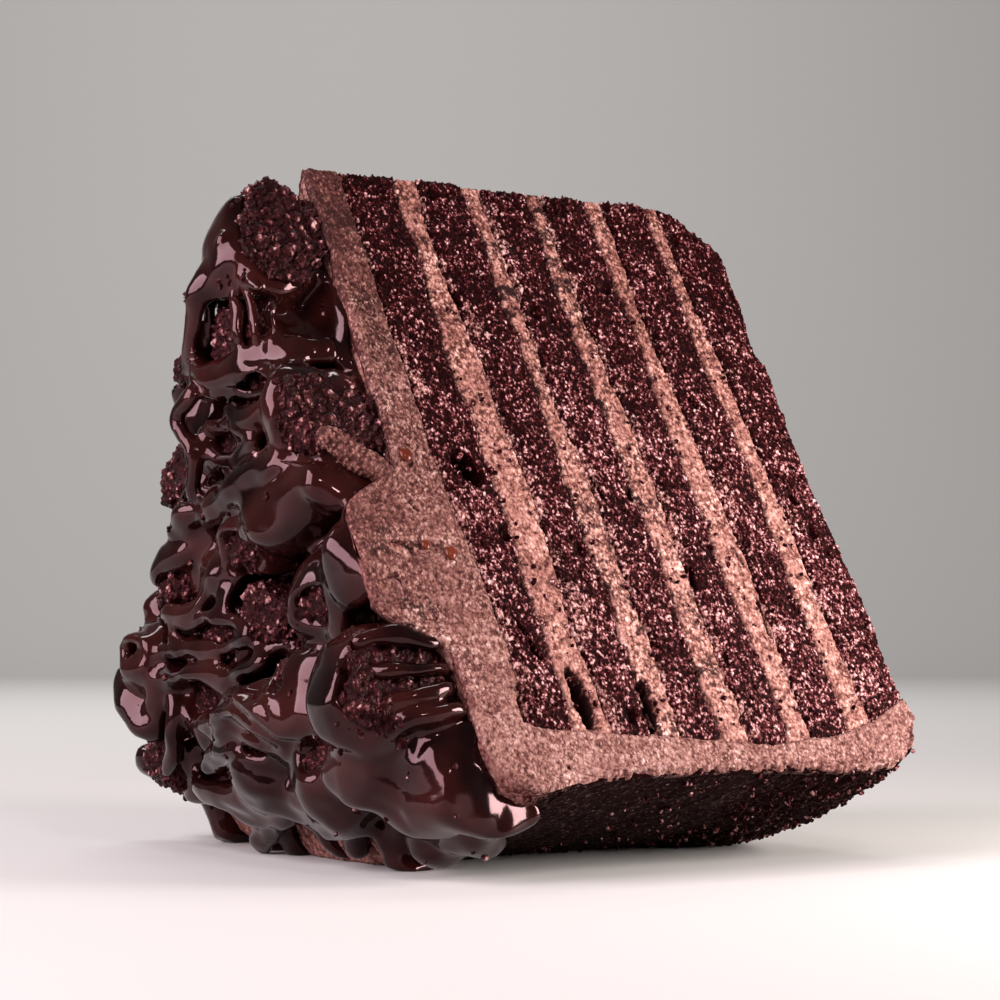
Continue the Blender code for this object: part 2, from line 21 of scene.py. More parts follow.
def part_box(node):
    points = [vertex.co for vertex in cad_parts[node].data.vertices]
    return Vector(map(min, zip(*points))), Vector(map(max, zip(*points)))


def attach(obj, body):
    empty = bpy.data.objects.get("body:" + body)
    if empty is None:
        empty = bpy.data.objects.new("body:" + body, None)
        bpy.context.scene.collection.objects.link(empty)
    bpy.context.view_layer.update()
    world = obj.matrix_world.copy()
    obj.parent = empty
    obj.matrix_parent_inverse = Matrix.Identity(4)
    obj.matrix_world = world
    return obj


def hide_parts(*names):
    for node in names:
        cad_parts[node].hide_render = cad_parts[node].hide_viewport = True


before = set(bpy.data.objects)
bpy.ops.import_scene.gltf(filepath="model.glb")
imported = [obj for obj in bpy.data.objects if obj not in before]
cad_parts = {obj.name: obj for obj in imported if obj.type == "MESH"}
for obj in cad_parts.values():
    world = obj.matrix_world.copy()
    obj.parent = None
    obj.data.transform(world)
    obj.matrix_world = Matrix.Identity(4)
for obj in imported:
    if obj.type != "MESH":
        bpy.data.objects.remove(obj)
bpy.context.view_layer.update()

Array = NDArray[np.float64]
Indices = NDArray[np.int64]
Material = bpy.types.Material
Tree = bpy.types.NodeTree
Node = bpy.types.Node
Pair = tuple[float, float]
Triple = tuple[float, float, float]
Stops = tuple[tuple[float, str], ...]
MM = 0.001
BODY = "root"
IMAGE_SIDE = 1000
SENSOR_MM = 36.0
LOG = logging.getLogger("cake")
HASH_STEPS = tuple(np.uint32(step) for step in (73856093, 19349663, 83492791))
HASH_SPREAD = 2654435761
HASH_MIX = np.uint32(2246822519)
CLEFT_WIDTH = 0.42
CLEFT_POWER = 0.6
LOWEST_CRUMB = 0.4
CRUMB_ROUNDING = 0.45
UNTURNED = np.eye(3)


class Side(Enum):
    """The two cuts of the slice."""

    NEAR = -1
    FAR = 1


@dataclass(frozen=True)
class Slice:
    """The slice's own sizes, as its solids have them, and where it stands in the frame."""

    near_cut: float = -31.0
    far_cut: float = 25.0
    axis_height: float = 125.4
    tip_radius: float = 0.9
    tip_crumble: float = 7.0
    height: float = 91.0
    layer_ends: tuple[float, ...] = (8.8, 18.7, 25.3, 34.0, 39.5, 48.0, 53.2, 61.6, 67.6, 76.3, 81.2, 91.0)
    wave_height: float = 0.32
    wave_lengths: Pair = (13.0, 6.1)
    wave_phase: float = 1.7
    icing_slope: float = 1.6
    wall_radius: float = 127.0
    wall_end: float = 92.0
    inner_wall: tuple[Pair, ...] = (
        (0.0, 116.5), (19.0, 118.0), (35.0, 119.5), (58.0, 121.6), (72.0, 120.6), (82.0, 118.0), (91.0, 113.5),
    )
    outer_wall: tuple[Pair, ...] = (
        (0.0, 119.5), (1.2, 123.2), (3.5, 126.6), (7.5, 128.9), (13.0, 128.0), (22.0, 126.8), (40.0, 126.2),
        (60.0, 126.4), (76.0, 127.2), (84.0, 126.6), (89.0, 123.6), (92.0, 118.0),
    )
    flap_height: float = 12.3
    flap_width: float = 7.5
    flap_reach: tuple[float, float, float, float] = (64.6, 76.0, 93.0, 104.0)

    @property
    def top_x(self) -> float:
        """Where the top icing lies along X: the wall's end, less its height."""
        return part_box("icing")[1].x / MM - self.wall_end

    @property
    def axis_y(self) -> float:
        """Where the cake's axis lies along Y, from a filling, whose two far corners are at one radius."""
        low, high = (corner.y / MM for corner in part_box("filling_3"))
        near, far = (abs(math.sin(math.radians(cut))) for cut in (self.near_cut, self.far_cut))
        return low + (high - low) * near / (near + far)

    @property
    def middle_turn(self) -> float:
        """The angle halfway between the cuts, in radians."""
        return math.radians(self.far_cut + self.near_cut) / 2.0

    @property
    def half_turn(self) -> float:
        """Half the angle between the cuts, in radians."""
        return math.radians(self.far_cut - self.near_cut) / 2.0

    @property
    def inward(self) -> Array:
        """The way from the tip to the middle of the wall, as (across, down)."""
        return np.array([math.sin(self.middle_turn), math.cos(self.middle_turn)])

    def cut_angle(self, side: Side) -> float:
        """The angle of one cut in degrees."""
        return self.near_cut if side is Side.NEAR else self.far_cut

    def cut_frame(self, side: Side) -> tuple[Array, Array]:
        """The way from the tip to the rim in one cut, and the way out of the cut, both as (across, down)."""
        sine, cosine = (turned(math.radians(self.cut_angle(side))) for turned in (math.sin, math.cos))
        return np.array([sine, cosine]), side.value * np.array([cosine, -sine])

    def drawn_in(self, points: Array, side: Side, inset: Array | float, share: float = 1.0) -> Array:
        """Takes points back that are past a plane inset in a cut, by a share of how far each is past it."""
        outward = np.array([0.0, *self.cut_frame(side)[1]])
        return points - share * np.maximum(points[:, 1:] @ outward[1:] + inset, 0.0)[:, None] * outward

    def place(self, points: Array) -> Array:
        """Turns points (out, across, down) in millimetres into places in the frame in metres."""
        out, across, down = np.moveaxis(points, -1, 0)
        return np.stack([self.top_x - out, self.axis_y + across, self.axis_height - down], -1) * MM

    def round_point(self, along: Array, radius: Array, angle: Array) -> Array:
        """Points about the cake's axis, kept above the floor: across = r sin a, down = r cos a."""
        across, down = (radius * turned(np.radians(angle)) for turned in (np.sin, np.cos))
        return np.stack(np.broadcast_arrays(-along, across, np.minimum(down, self.axis_height)), -1)

    def inner(self, along: Array) -> Array:
        """The wall's inner radius at an along."""
        return np.interp(along, *np.array(self.inner_wall).T)

    def outer(self, along: Array) -> Array:
        """The wall's outer radius at an along."""
        return np.interp(along, *np.array(self.outer_wall).T)

    def wave(self, number: int, radius: Array, angle: Array) -> Array:
        """How far boundary number rises: three slow sine waves with a phase of its own.

        Args:
            number: The boundary.
            radius: Where along the cut.
            angle: Where round the axis.

        Returns:
            The rise.
        """
        phase = self.wave_phase * number
        long, short = self.wave_lengths
        along_cut = np.sin(radius / long + phase) + 0.6 * np.sin(radius / short + 2.3 * phase)
        return self.wave_height * (along_cut + 0.7 * np.sin(np.radians(angle) * 5.0 + phase))

    def boundary(self, number: int, radius: Array, angle: Array) -> Array:
        """The along of the surface between two layers. Number 0 is under the top icing, and slopes."""
        slope = self.icing_slope * (2.0 * ease(0.0, self.wall_radius, radius) - 1.0) if number == 0 else 0.0
        return self.layer_ends[number] + self.wave(number, radius, angle) + slope

    def flap(self, radius: Array, angle: Array) -> Array:
        """How far out the icing stands at the near cut, where the knife pushed it over the topping.

        Args:
            radius: Where along the cut: it rises and falls by smooth steps.
            angle: Where round the axis: it falls off away from the cut.

        Returns:
            Its height.
        """
        from_cut = radius * np.sin(np.radians(angle - self.near_cut))
        low, full_low, full_high, high = self.flap_reach
        along_cut = ease(low, full_low, radius) * (1.0 - ease(full_high, high, radius))
        return self.flap_height * along_cut * (1.0 - ease(1.0, self.flap_width, from_cut))


def ease(low: float, high: float, at: Array) -> Array:
    """Rises from 0 at low to 1 at high by the smooth step 3s² - 2s³."""
    share = np.clip((at - low) / (high - low), 0.0, 1.0)
    return share * share * (3.0 - 2.0 * share)


def hashed(cells: Array, seed: int) -> Array:
    """A fixed random number for each whole-numbered cell, from its three numbers mixed by xor.

    Args:
        cells: Whole numbers, three to a cell.
        seed: Picks another set.

    Returns:
        Numbers from 0 to 1.
    """
    x, y, z = np.moveaxis(cells.astype(np.int64).astype(np.uint32), -1, 0)
    mixed = x * HASH_STEPS[0] ^ y * HASH_STEPS[1] ^ z * HASH_STEPS[2]
    mixed ^= np.uint32(seed * HASH_SPREAD % 2**32)
    for shift in (15, 13):
        mixed ^= mixed >> np.uint32(shift)
        mixed *= HASH_MIX
    mixed ^= mixed >> np.uint32(16)
    return mixed / 2.0**32


def soft_noise(points: Array, size: float, seed: int) -> Array:
    """Value noise: random numbers at the corners of cubes, blended by the smooth step.

    Args:
        points: Places.
        size: The cubes' side.
        seed: Picks other numbers.

    Returns:
        Values from -1 to 1.
    """
    scaled = points / size
    low = np.floor(scaled)
    share = scaled - low
    share = share * share * (3.0 - 2.0 * share)
    total = np.zeros(points.shape[:-1])
    for corner in np.ndindex(2, 2, 2):
        weight = np.prod(np.where(np.array(corner) == 1, share, 1.0 - share), axis=-1)
        total += weight * hashed(low + np.array(corner), seed)
    return 2.0 * total - 1.0


def fractal(points: Array, size: float, octaves: int, seed: int) -> Array:
    """Value noise summed over octaves, each with half the size and half the height of the one before."""
    waves = (0.5**octave * soft_noise(points, size * 0.5**octave, seed + octave) for octave in range(octaves))
    return sum(waves) / (2.0 - 0.5 ** (octaves - 1))


def find_cells(points: Array, size: float, seed: int) -> tuple[Array, Array, Array]:
    """Worley cells: one seed point in each cube.

    Args:
        points: Places.
        size: The cubes' side.
        seed: Picks other seed points.

    Returns:
        Distances to the nearest two seed points, as shares of the size, and the nearest one's own number.
    """
    scaled = points / size
    low = np.floor(scaled)
    nearest = np.full(points.shape[:-1], 9.0)
    second = nearest.copy()
    own = np.zeros(points.shape[:-1])
    for step in np.ndindex(3, 3, 3):
        cell = low + np.array(step) - 1.0
        middle = cell + np.stack([hashed(cell, seed + axis) for axis in range(3)], -1)
        gap = np.sqrt(((middle - scaled) ** 2).sum(-1))
        closer = gap < nearest
        second = np.where(closer, nearest, np.minimum(second, gap))
        own = np.where(closer, hashed(cell, seed + 7), own)
        nearest = np.where(closer, gap, nearest)
    return nearest, second, own


def crumb_height(points: Array, size: float, seed: int) -> Array:
    """Packed crumbs: each Worley cell is a rounded lump of its own height, with a cleft round it.

    Args:
        points: Places.
        size: A crumb's size.
        seed: Picks other crumbs.

    Returns:
        Heights from 0 to 1.
    """
    nearest, second, own = find_cells(points, size, seed)
    cleft = np.clip((second - nearest) / CLEFT_WIDTH, 0.0, 1.0) ** CLEFT_POWER
    height = LOWEST_CRUMB + (1.0 - LOWEST_CRUMB) * own
    return cleft * height * (1.0 - CRUMB_ROUNDING * np.minimum(nearest, 1.0) ** 2)


class Noise(NamedTuple):
    """Noise of a height: the size of its largest waves, how many octaves it has, and its seed."""

    height: float
    size: float
    octaves: int
    seed: int

    def at(self, points: Array, shift: int = 0) -> Array:
        """The noise at points, from minus its height to plus it, with its seed shifted."""
        return self.height * fractal(points, self.size, self.octaves, self.seed + shift)


class Crumbs(NamedTuple):
    """Crumbs of two sizes packed together: the share, size and seed of the coarse ones and of the fine ones."""

    coarse: tuple[float, float, int]
    fine: tuple[float, float, int]

    def at(self, points: Array) -> Array:
        """Heights from 0 to about 1 at points: both kinds' heights, weighted by their shares."""
        return sum(share * crumb_height(points, size, seed) for share, size, seed in (self.coarse, self.fine))


class Holes(NamedTuple):
    """Round holes in a cut: the size of the cells that may have one, the seed, the share of the cells that have
    none, and where a hole's bottom ends and its edge lies, as shares of the size."""

    size: float
    seed: int
    without: float
    bottom: float
    edge: float

    def at(self, points: Array, frayed: Array | float = 0.0) -> Array:
        """How far points are in a hole, from 0 outside to 1 at its bottom, its edge frayed by a noise."""
        nearest, _, own = find_cells(points, self.size, self.seed)
        return np.where(own > self.without, 1.0 - ease(self.bottom, self.edge, nearest + frayed), 0.0)


@dataclass
class Skin:
    """A mesh in the making: points (out, across, down), faces that turn outwards, and values at the points."""

    points: Array
    quads: Indices
    triangles: Indices = field(default_factory=lambda: np.zeros((0, 3), np.int64))
    values: dict[str, Array] = field(default_factory=dict)

    def corners(self) -> Indices:
        """All faces as triangles, three point numbers each."""
        return np.concatenate([self.quads[:, [0, 1, 2]], self.quads[:, [0, 2, 3]], self.triangles])

    def turned_outwards(self) -> "Skin":
        """Turns the faces round if the volume, the sum of a · (b × c) / 6, is below 0.

        Returns:
            This skin.
        """
        a, b, c = (self.points[self.corners()[:, i]] for i in range(3))
        if (a * np.cross(b, c)).sum() < 0.0:
            self.quads, self.triangles = self.quads[:, ::-1], self.triangles[:, ::-1]
        return self

    def normals(self) -> Array:
        """The mean direction of the faces round each point, weighted by their areas.

        Returns:
            Unit vectors.
        """
        corners = self.corners()
        a, b, c = (self.points[corners[:, i]] for i in range(3))
        across_face = np.cross(b - a, c - a)
        total = np.zeros_like(self.points)
        for axis in range(3):
            for corner in range(3):
                total[:, axis] += np.bincount(corners[:, corner], across_face[:, axis], len(self.points))
        return total / np.maximum(np.linalg.norm(total, axis=1, keepdims=True), 1e-12)

    def pushed(self, height: Array) -> "Skin":
        """Moves each point out along its normal by its own height."""
        self.points = self.points + self.normals() * height[:, None]
        return self

    def smoothed(self, rounds: int) -> "Skin":
        """Evens the points out by Taubin's rule: a step to the neighbours' mean, then one nearly as far back.

        Args:
            rounds: How often.

        Returns:
            This skin.
        """
        corners = self.corners()
        start = np.concatenate([corners[:, i] for i in (0, 1, 2, 1, 2, 0)])
        end = np.concatenate([corners[:, i] for i in (1, 2, 0, 0, 1, 2)])
        count = np.maximum(np.bincount(start, minlength=len(self.points)), 1)
        for _ in range(rounds):
            for share in (0.5, -0.52):
                mean = np.stack([np.bincount(start, self.points[end, i], len(count)) for i in range(3)], -1)
                self.points = self.points + share * (mean / count[:, None] - self.points)
        return self


def closed_tube(rings: Array, cap: Array | None = None) -> Skin:
    """A closed skin: quads between neighbouring rings, and a cap over the first ring and the last.

    Args:
        rings: Points by ring and by place round it.
        cap: A cap's triangles as places round the ring, or None for a fan.

    Returns:
        The skin.
    """
    count, around = rings.shape[:2]
    index = np.arange(count * around).reshape(count, around)
    after = np.roll(index, -1, axis=1)
    quads = np.stack([index[:-1], after[:-1], after[1:], index[1:]], -1).reshape(-1, 4)
    points = rings.reshape(-1, 3)
    if cap is not None:
        caps = [cap[:, ::-1], cap + index[-1, 0]]
        return Skin(points, quads, np.concatenate(caps)).turned_outwards()
    caps = [
        np.stack([after[0], index[0], np.full(around, count * around)], -1),
        np.stack([index[-1], after[-1], np.full(around, count * around + 1)], -1),
    ]
    points = np.concatenate([points, [rings[0].mean(0), rings[-1].mean(0)]])
    return Skin(points, quads, np.concatenate(caps)).turned_outwards()


def strip_cap(first: Array, second: Array) -> Indices:
    """Triangles over a ring that is a long strip: a row of points, then one that runs back beside it.

    Args:
        first: How far along the strip the first row's points lie, rising.
        second: The same for the second row, falling.

    Returns:
        Triangles as places round the ring.
    """
    order = np.argsort(np.concatenate([first[1:], second[-2::-1]]), kind="stable")
    on_first = (order < len(first) - 1).astype(int)
    passed = np.cumsum(on_first) - on_first
    beside = len(first) + len(second) - 1 - (np.arange(len(order)) - passed)
    return np.stack([passed, np.where(on_first == 1, passed + 1, beside - 1), beside], -1)


def joined(skins: list[Skin]) -> Skin:
    """Several skins as one, with each one's point numbers raised by the points before it."""
    starts = np.cumsum([0] + [len(skin.points) for skin in skins])
    return Skin(
        np.concatenate([skin.points for skin in skins]),
        np.concatenate([skin.quads + start for skin, start in zip(skins, starts)]),
        np.concatenate([skin.triangles + start for skin, start in zip(skins, starts)]),
        {name: np.concatenate([skin.values[name] for skin in skins]) for name in skins[0].values},
    )


def put_in_scene(name: str, data: Any) -> bpy.types.Object:
    """Puts a mesh, a camera or a light into the scene.

    Args:
        name: The new object's name.
        data: What it shows.

    Returns:
        The object, at the origin.
    """
    made = bpy.data.objects.new(name, data)
    bpy.context.scene.collection.objects.link(made)
    return made


def make_piece(cake: Slice, name: str, skin: Skin, finish: Material,
               nodes: tuple[str, ...] = ()) -> bpy.types.Object:
    """Puts a skin into the scene as one piece of the object, and reports it.

    Args:
        cake: Says where points lie.
        name: The piece's name.
        skin: Its mesh.
        finish: Its material.
        nodes: The solids that it stands for.

    Returns:
        The new object.
    """
    mesh = bpy.data.meshes.new(name)
    mesh.vertices.add(len(skin.points))
    mesh.vertices.foreach_set("co", cake.place(skin.points).astype(np.float32).ravel())
    corners = np.concatenate([skin.quads.ravel(), skin.triangles.ravel()]).astype(np.int32)
    sizes = np.concatenate([np.full(len(skin.quads), 4), np.full(len(skin.triangles), 3)])
    mesh.loops.add(len(corners))
    mesh.loops.foreach_set("vertex_index", corners)
    mesh.polygons.add(len(sizes))
    mesh.polygons.foreach_set("loop_start", (np.cumsum(sizes) - sizes).astype(np.int32))
    for value_name, value in skin.values.items():
        attribute = mesh.attributes.new(value_name, "FLOAT", "POINT")
        attribute.data.foreach_set("value", value.astype(np.float32))
    mesh.update(calc_edges=True)
    mesh.validate()
    mesh.shade_smooth()
    mesh.materials.append(finish)
    piece = put_in_scene(name, mesh)
    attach(piece, BODY)
    if nodes:
        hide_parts(*nodes)
    triangles = 2 * len(skin.quads) + len(skin.triangles)
    LOG.info("%s: %d triangles, stands for %s", name, triangles, ", ".join(nodes) or "nothing")
    return piece


def linear(colour: str) -> tuple[float, float, float, float]:
    """An sRGB colour such as #5a2d27 as the linear values that shaders take."""
    shares = [int(colour[i : i + 2], 16) / 255.0 for i in (1, 3, 5)]
    return (*(s / 12.92 if s <= 0.04045 else ((s + 0.055) / 1.055) ** 2.4 for s in shares), 1.0)


def add_node(tree: Tree, kind: str, settings: dict[str | int, Any], **links: Any) -> Node:
    """Adds one shader node.

    Args:
        tree: The material's nodes.
        kind: The node's type, without ShaderNode.
        settings: Properties by name, and input values by number or name.
        links: Outputs, or nodes for their first one, by their input's name, with _ for a space, or as in_N.

    Returns:
        The node.
    """
    node = tree.nodes.new("ShaderNode" + kind)
    for name, value in settings.items():
        if isinstance(name, str) and hasattr(node, name):
            setattr(node, name, value)
        else:
            node.inputs[name].default_value = value
    for name, source in links.items():
        place = int(name[3:]) if name.startswith("in_") else name.replace("_", " ")
        output = source.outputs[0] if isinstance(source, Node) else source
        tree.links.new(output, node.inputs[place])
    return node


def new_material(name: str) -> tuple[Material, Tree, Node]:
    """A new material with a Principled BSDF alone.

    Args:
        name: Its name.

    Returns:
        The material, its nodes, and that shader.
    """
    made = bpy.data.materials.new(name)
    made.use_nodes = True
    return made, made.node_tree, made.node_tree.nodes["Principled BSDF"]


def colour_ramp(tree: Tree, amount: Any, stops: Stops) -> Node:
    """A ramp of colours.

    Args:
        tree: The material's nodes.
        amount: What runs along the ramp.
        stops: Its places and sRGB colours, rising.

    Returns:
        The ramp.
    """
    ramp = add_node(tree, "ValToRGB", {}, Fac=amount)
    marks = ramp.color_ramp.elements
    while len(marks) < len(stops):
        marks.new(0.5)
    while len(marks) > len(stops):
        marks.remove(marks[-1])
    for mark, (place, colour) in zip(marks, stops):
        mark.position, mark.color = place, linear(colour)
    return ramp


def granules(tree: Tree, place: Any, grain_mm: float) -> Node:
    """Packed granules, about 0.42 on the whole: Voronoi cells drawn out down the cut, each as bright as
    its own random number and darker towards its edge, which paints shade into the gaps between them, with
    softer noise of twice the size.

    Args:
        tree: The material's nodes.
        place: Object coordinates.
        grain_mm: A granule's size.

    Returns:
        The node with their brightness.
    """
    drawn = add_node(tree, "VectorMath", {"operation": "MULTIPLY", 1: (1.0, 0.85, 0.68)}, in_0=place)
    cells = add_node(tree, "TexVoronoi", {"Scale": 1.0 / (grain_mm * MM)}, Vector=drawn)
    own = add_node(tree, "SeparateColor", {}, Color=cells.outputs["Color"])
    edged = add_node(tree, "Math", {"operation": "MULTIPLY_ADD", 1: -1.1}, in_0=cells, in_2=own)
    softer = {"Scale": 0.5 / (grain_mm * MM), "Detail": 2.0, "Roughness": 0.6}
    noise = add_node(tree, "TexNoise", softer, Vector=drawn)
    soft = add_node(tree, "MapRange", {1: 0.3, 2: 0.7, 3: 0.12, 4: 0.82}, Value=noise)
    return add_node(tree, "Math", {"operation": "MULTIPLY_ADD", 1: 0.55}, in_0=edged, in_2=soft)


def slow_patches(tree: Tree, place: Any, size_mm: float, share: float) -> Node:
    """Slow noise of a size, from minus the share to plus it."""
    noise = add_node(tree, "TexNoise", {"Scale": 1.0 / (size_mm * MM), "Detail": 3.0}, Vector=place)
    return add_node(tree, "MapRange", {1: 0.32, 2: 0.68, 3: -share, 4: share}, Value=noise)


@dataclass(frozen=True)
class GrainFinish:
    """What sponge and frosting share: packed granules, lighter and darker in slow patches, darkened by painted
    shade where they lie deep and wherever a piece's shade value asks, and veiled with the other one where the
    knife dragged it over them."""

    name: str
    stops: Stops
    veil: Stops
    grain_mm: float
    mottle_mm: float
    mottle_share: float
    shade_strength: float
    veil_lean: float
    veil_reach: Pair
    roughness: Pair
    reflection: str
    ior: float
    bump_mm: float

    def spread(self, tree: Tree, place: Any, grain: Any) -> Any:
        """The granules' brightness, as they are."""
        return grain

    def make(self) -> Material:
        """Makes the material. It reads a point's painted shade, which darkens it, and smear, how much was dragged
        over it.

        Returns:
            The material.
        """
        made, tree, shader = new_material(self.name)
        place = add_node(tree, "TexCoord", {}).outputs["Object"]
        hollow, smear = (add_node(tree, "Attribute", {"attribute_name": name}).outputs["Fac"]
                         for name in ("hollow", "smear"))
        grain = granules(tree, place, self.grain_mm)
        patches = slow_patches(tree, place, self.mottle_mm, self.mottle_share)
        lit = add_node(tree, "Math", {"operation": "ADD"}, in_0=self.spread(tree, place, grain), in_1=patches)
        # Painted shade darkens the granules' tone.
        shaded_tone = add_node(tree, "Math", {"operation": "MULTIPLY_ADD", 1: -self.shade_strength}, in_0=hollow, in_2=lit)
        raised = shaded_tone if self.veil_lean > 0.0 else grain
        veiled = add_node(tree, "Math", {"operation": "MULTIPLY_ADD", 1: self.veil_lean}, in_0=raised, in_2=smear)
        covered = add_node(tree, "MapRange", {1: self.veil_reach[0], 2: self.veil_reach[1]}, Value=veiled)
        bare, veil = colour_ramp(tree, shaded_tone, self.stops), colour_ramp(tree, grain, self.veil)
        colour = add_node(tree, "Mix", {"data_type": "RGBA"}, Factor=covered, in_6=bare, in_7=veil)
        tree.links.new(colour.outputs[2], shader.inputs["Base Color"])
        shine = {1: 0.3, 2: 0.8, 3: self.roughness[1], 4: self.roughness[0]}
        shine = add_node(tree, "MapRange", shine, Value=grain)
        tree.links.new(shine.outputs[0], shader.inputs["Roughness"])
        bump = add_node(tree, "Bump", {"Strength": 1.0, "Distance": self.bump_mm * MM}, Height=grain)
        tree.links.new(bump.outputs["Normal"], shader.inputs["Normal"])
        shader.inputs["IOR"].default_value = self.ior
        shader.inputs["Specular Tint"].default_value = linear(self.reflection)
        return made


@dataclass(frozen=True)
class CrumbFinish(GrainFinish):
    """Baked chocolate sponge, torn or sawn open: moist granules with painted shade, nearly black, in the gaps
    between them, and painted highlights, pale pink specks, on their raised corners. The grain is drawn
    coarser than the real 0.3 mm, so that it shows."""

    name: str = "baked_chocolate_sponge"
    # The lowest stops paint the shade in the gaps; the top stops paint highlights on the granules.
    stops: Stops = (
        (0.0, "#0a0001"), (0.3, "#1f0405"), (0.45, "#43181b"), (0.62, "#7e4b4d"), (0.8, "#b08585"),
        (1.0, "#e2c4c0"),
    )
    veil: Stops = ((0.1, "#4f2422"), (0.45, "#8d5954"), (0.9, "#c69e98"))
    grain_mm: float = 0.44
    mottle_mm: float = 7.0
    mottle_share: float = 0.13
    shade_strength: float = 0.55
    veil_lean: float = 0.9
    veil_reach: Pair = (0.55, 1.25)
    roughness: Pair = (0.36, 0.78)
    reflection: str = "#a8524f"
    ior: float = 1.3
    bump_mm: float = 0.26


@dataclass(frozen=True)
class FrostingFinish(GrainFinish):
    """Beaten chocolate fudge frosting, sliced or spread: mauve brown, smooth in some patches, and in others
    dragged rough, with pale specks of painted sugar sparkle between dark specks of crumb."""

    name: str = "beaten_fudge_frosting"
    stops: Stops = (
        (0.0, "#3e1d19"), (0.25, "#71453d"), (0.5, "#9f7066"), (0.75, "#be968b"), (1.0, "#e6cbc2"),
    )
    veil: Stops = ((0.0, "#160304"),)
    grain_mm: float = 0.48
    mottle_mm: float = 9.0
    mottle_share: float = 0.08
    shade_strength: float = 0.6
    veil_lean: float = -0.9
    veil_reach: Pair = (-0.25, 0.45)
    contrast: Pair = (0.4, 0.95)
    roughness: Pair = (0.42, 0.66)
    reflection: str = "#d2a09a"
    ior: float = 1.42
    bump_mm: float = 0.14

    def spread(self, tree: Tree, place: Any, grain: Any) -> Any:
        """The granules' brightness, made uneven in patches: 0.47 + (grain - 0.42) times a slow contrast.

        Args:
            tree: The material's nodes.
            place: Object coordinates.
            grain: The granules.

        Returns:
            The node with the brightness.
        """
        middle, half = sum(self.contrast) / 2.0, (self.contrast[1] - self.contrast[0]) / 2.0
        patches = slow_patches(tree, place, 0.8 * self.mottle_mm, half)
        rough = add_node(tree, "Math", {"operation": "ADD", 1: middle}, in_0=patches)
        centred = add_node(tree, "Math", {"operation": "SUBTRACT", 1: 0.42}, in_0=grain)
        return add_node(tree, "Math", {"operation": "MULTIPLY_ADD", 2: 0.47}, in_0=centred, in_1=rough)


@dataclass(frozen=True)
class PouredFinish:
    """Hot fudge or syrup, poured and set: a wet skin with clear, bright reflections over a nearly black brown."""

    name: str = "poured_hot_fudge"
    dark: str = "#0b0202"
    light: str = "#260c0a"
    mottle_mm: float = 12.0
    roughness: float = 0.1
    reflection: str = "#cfa2a6"
    ior: float = 1.52
    ripple_mm: float = 2.4
    bump_mm: float = 0.06

    def make(self) -> Material:
        """Makes the material: a slow change between two browns, and a faint ripple.

        Returns:
            The material.
        """
        made, tree, shader = new_material(self.name)
        place = add_node(tree, "TexCoord", {}).outputs["Object"]
        mottle, ripple = (add_node(tree, "TexNoise", {"Scale": 1.0 / (size * MM), "Detail": 2.0}, Vector=place)
                          for size in (self.mottle_mm, self.ripple_mm))
        brown = colour_ramp(tree, mottle, ((0.35, self.dark), (0.65, self.light)))
        tree.links.new(brown.outputs["Color"], shader.inputs["Base Color"])
        bump = add_node(tree, "Bump", {"Strength": 0.5, "Distance": self.bump_mm * MM}, Height=ripple)
        tree.links.new(bump.outputs["Normal"], shader.inputs["Normal"])
        shader.inputs["Roughness"].default_value = self.roughness
        shader.inputs["IOR"].default_value = self.ior
        shader.inputs["Specular Tint"].default_value = linear(self.reflection)
        return made


class Tear(NamedTuple):
    """A place where the knife tore the cut open: where it is, its size, and how far it leans from the radius."""

    along: float
    radius: float
    length: float
    width: float
    depth: float
    lean: float = 0.0


NEAR_TEARS = (
    Tear(23.8, 29, 8, 1.3, 2.2, 20),
    Tear(14.1, 66.2, 8.6, 4.6, 4.4, 25),
    Tear(15, 101, 9, 1.2, 2, 18),
    Tear(21.8, 112.6, 13, 3.8, 4.6, 5),
    Tear(34.6, 113.6, 11.5, 3.2, 4.6, -6),
    Tear(69.3, 49.2, 5.4, 0.8, 1.8, 35),
    Tear(66.1, 83, 6.4, 0.8, 1.8, 18),
    Tear(66.8, 96, 10.5, 0.9, 2, -3),
    Tear(40.2, 70, 6, 0.8, 1.4, 8),
    Tear(54, 88, 7, 0.9, 1.6, -5),
)
FAR_TEARS = (
    Tear(12.6, 44, 7, 1.4, 2.4, -12),
    Tear(33, 84, 9, 1.6, 2.6, 10),
    Tear(47.2, 108, 9, 1.3, 2.4, 4),
    Tear(60.5, 60, 6, 1, 1.8, -16),
    Tear(75.4, 92, 8, 1.2, 2, 6),
)
NEAR_ICING_TEARS = (
    Tear(-3.9, 83, 6.4, 2.4, 1.9, 62),
    Tear(-6.8, 90.5, 6.4, 2.2, 1.8, 15),
    Tear(-2.2, 96, 4.4, 1.8, 1.6, 20),
    Tear(1.4, 89, 5, 0.9, 1.4, 12),
    Tear(0.8, 74, 4, 0.8, 1.2, 30),
)


def tear_depth(tears: tuple[Tear, ...], along: Array, radius: Array, jitter: Array) -> Array:
    """How deep the tears are: each a long pit, rounded across and frayed by the jitter.

    Args:
        tears: The tears, of which the deepest counts.
        along: The places' along.
        radius: Their radius.
        jitter: Noise there, from -1 to 1.

    Returns:
        Depths.
    """
    depth = np.zeros(np.broadcast(along, radius).shape)
    for tear in tears:
        lean = math.radians(tear.lean)
        away, aside = radius - tear.radius, along - tear.along
        lengthwise = (away * math.cos(lean) + aside * math.sin(lean)) / (0.5 * tear.length)
        sideways = (aside * math.cos(lean) - away * math.sin(lean)) / (0.5 * tear.width)
        reach = np.sqrt(lengthwise**2 + sideways**2) + 0.22 * jitter
        depth = np.maximum(depth, tear.depth * (1.0 - ease(0.45, 1.1, reach)))
    return depth


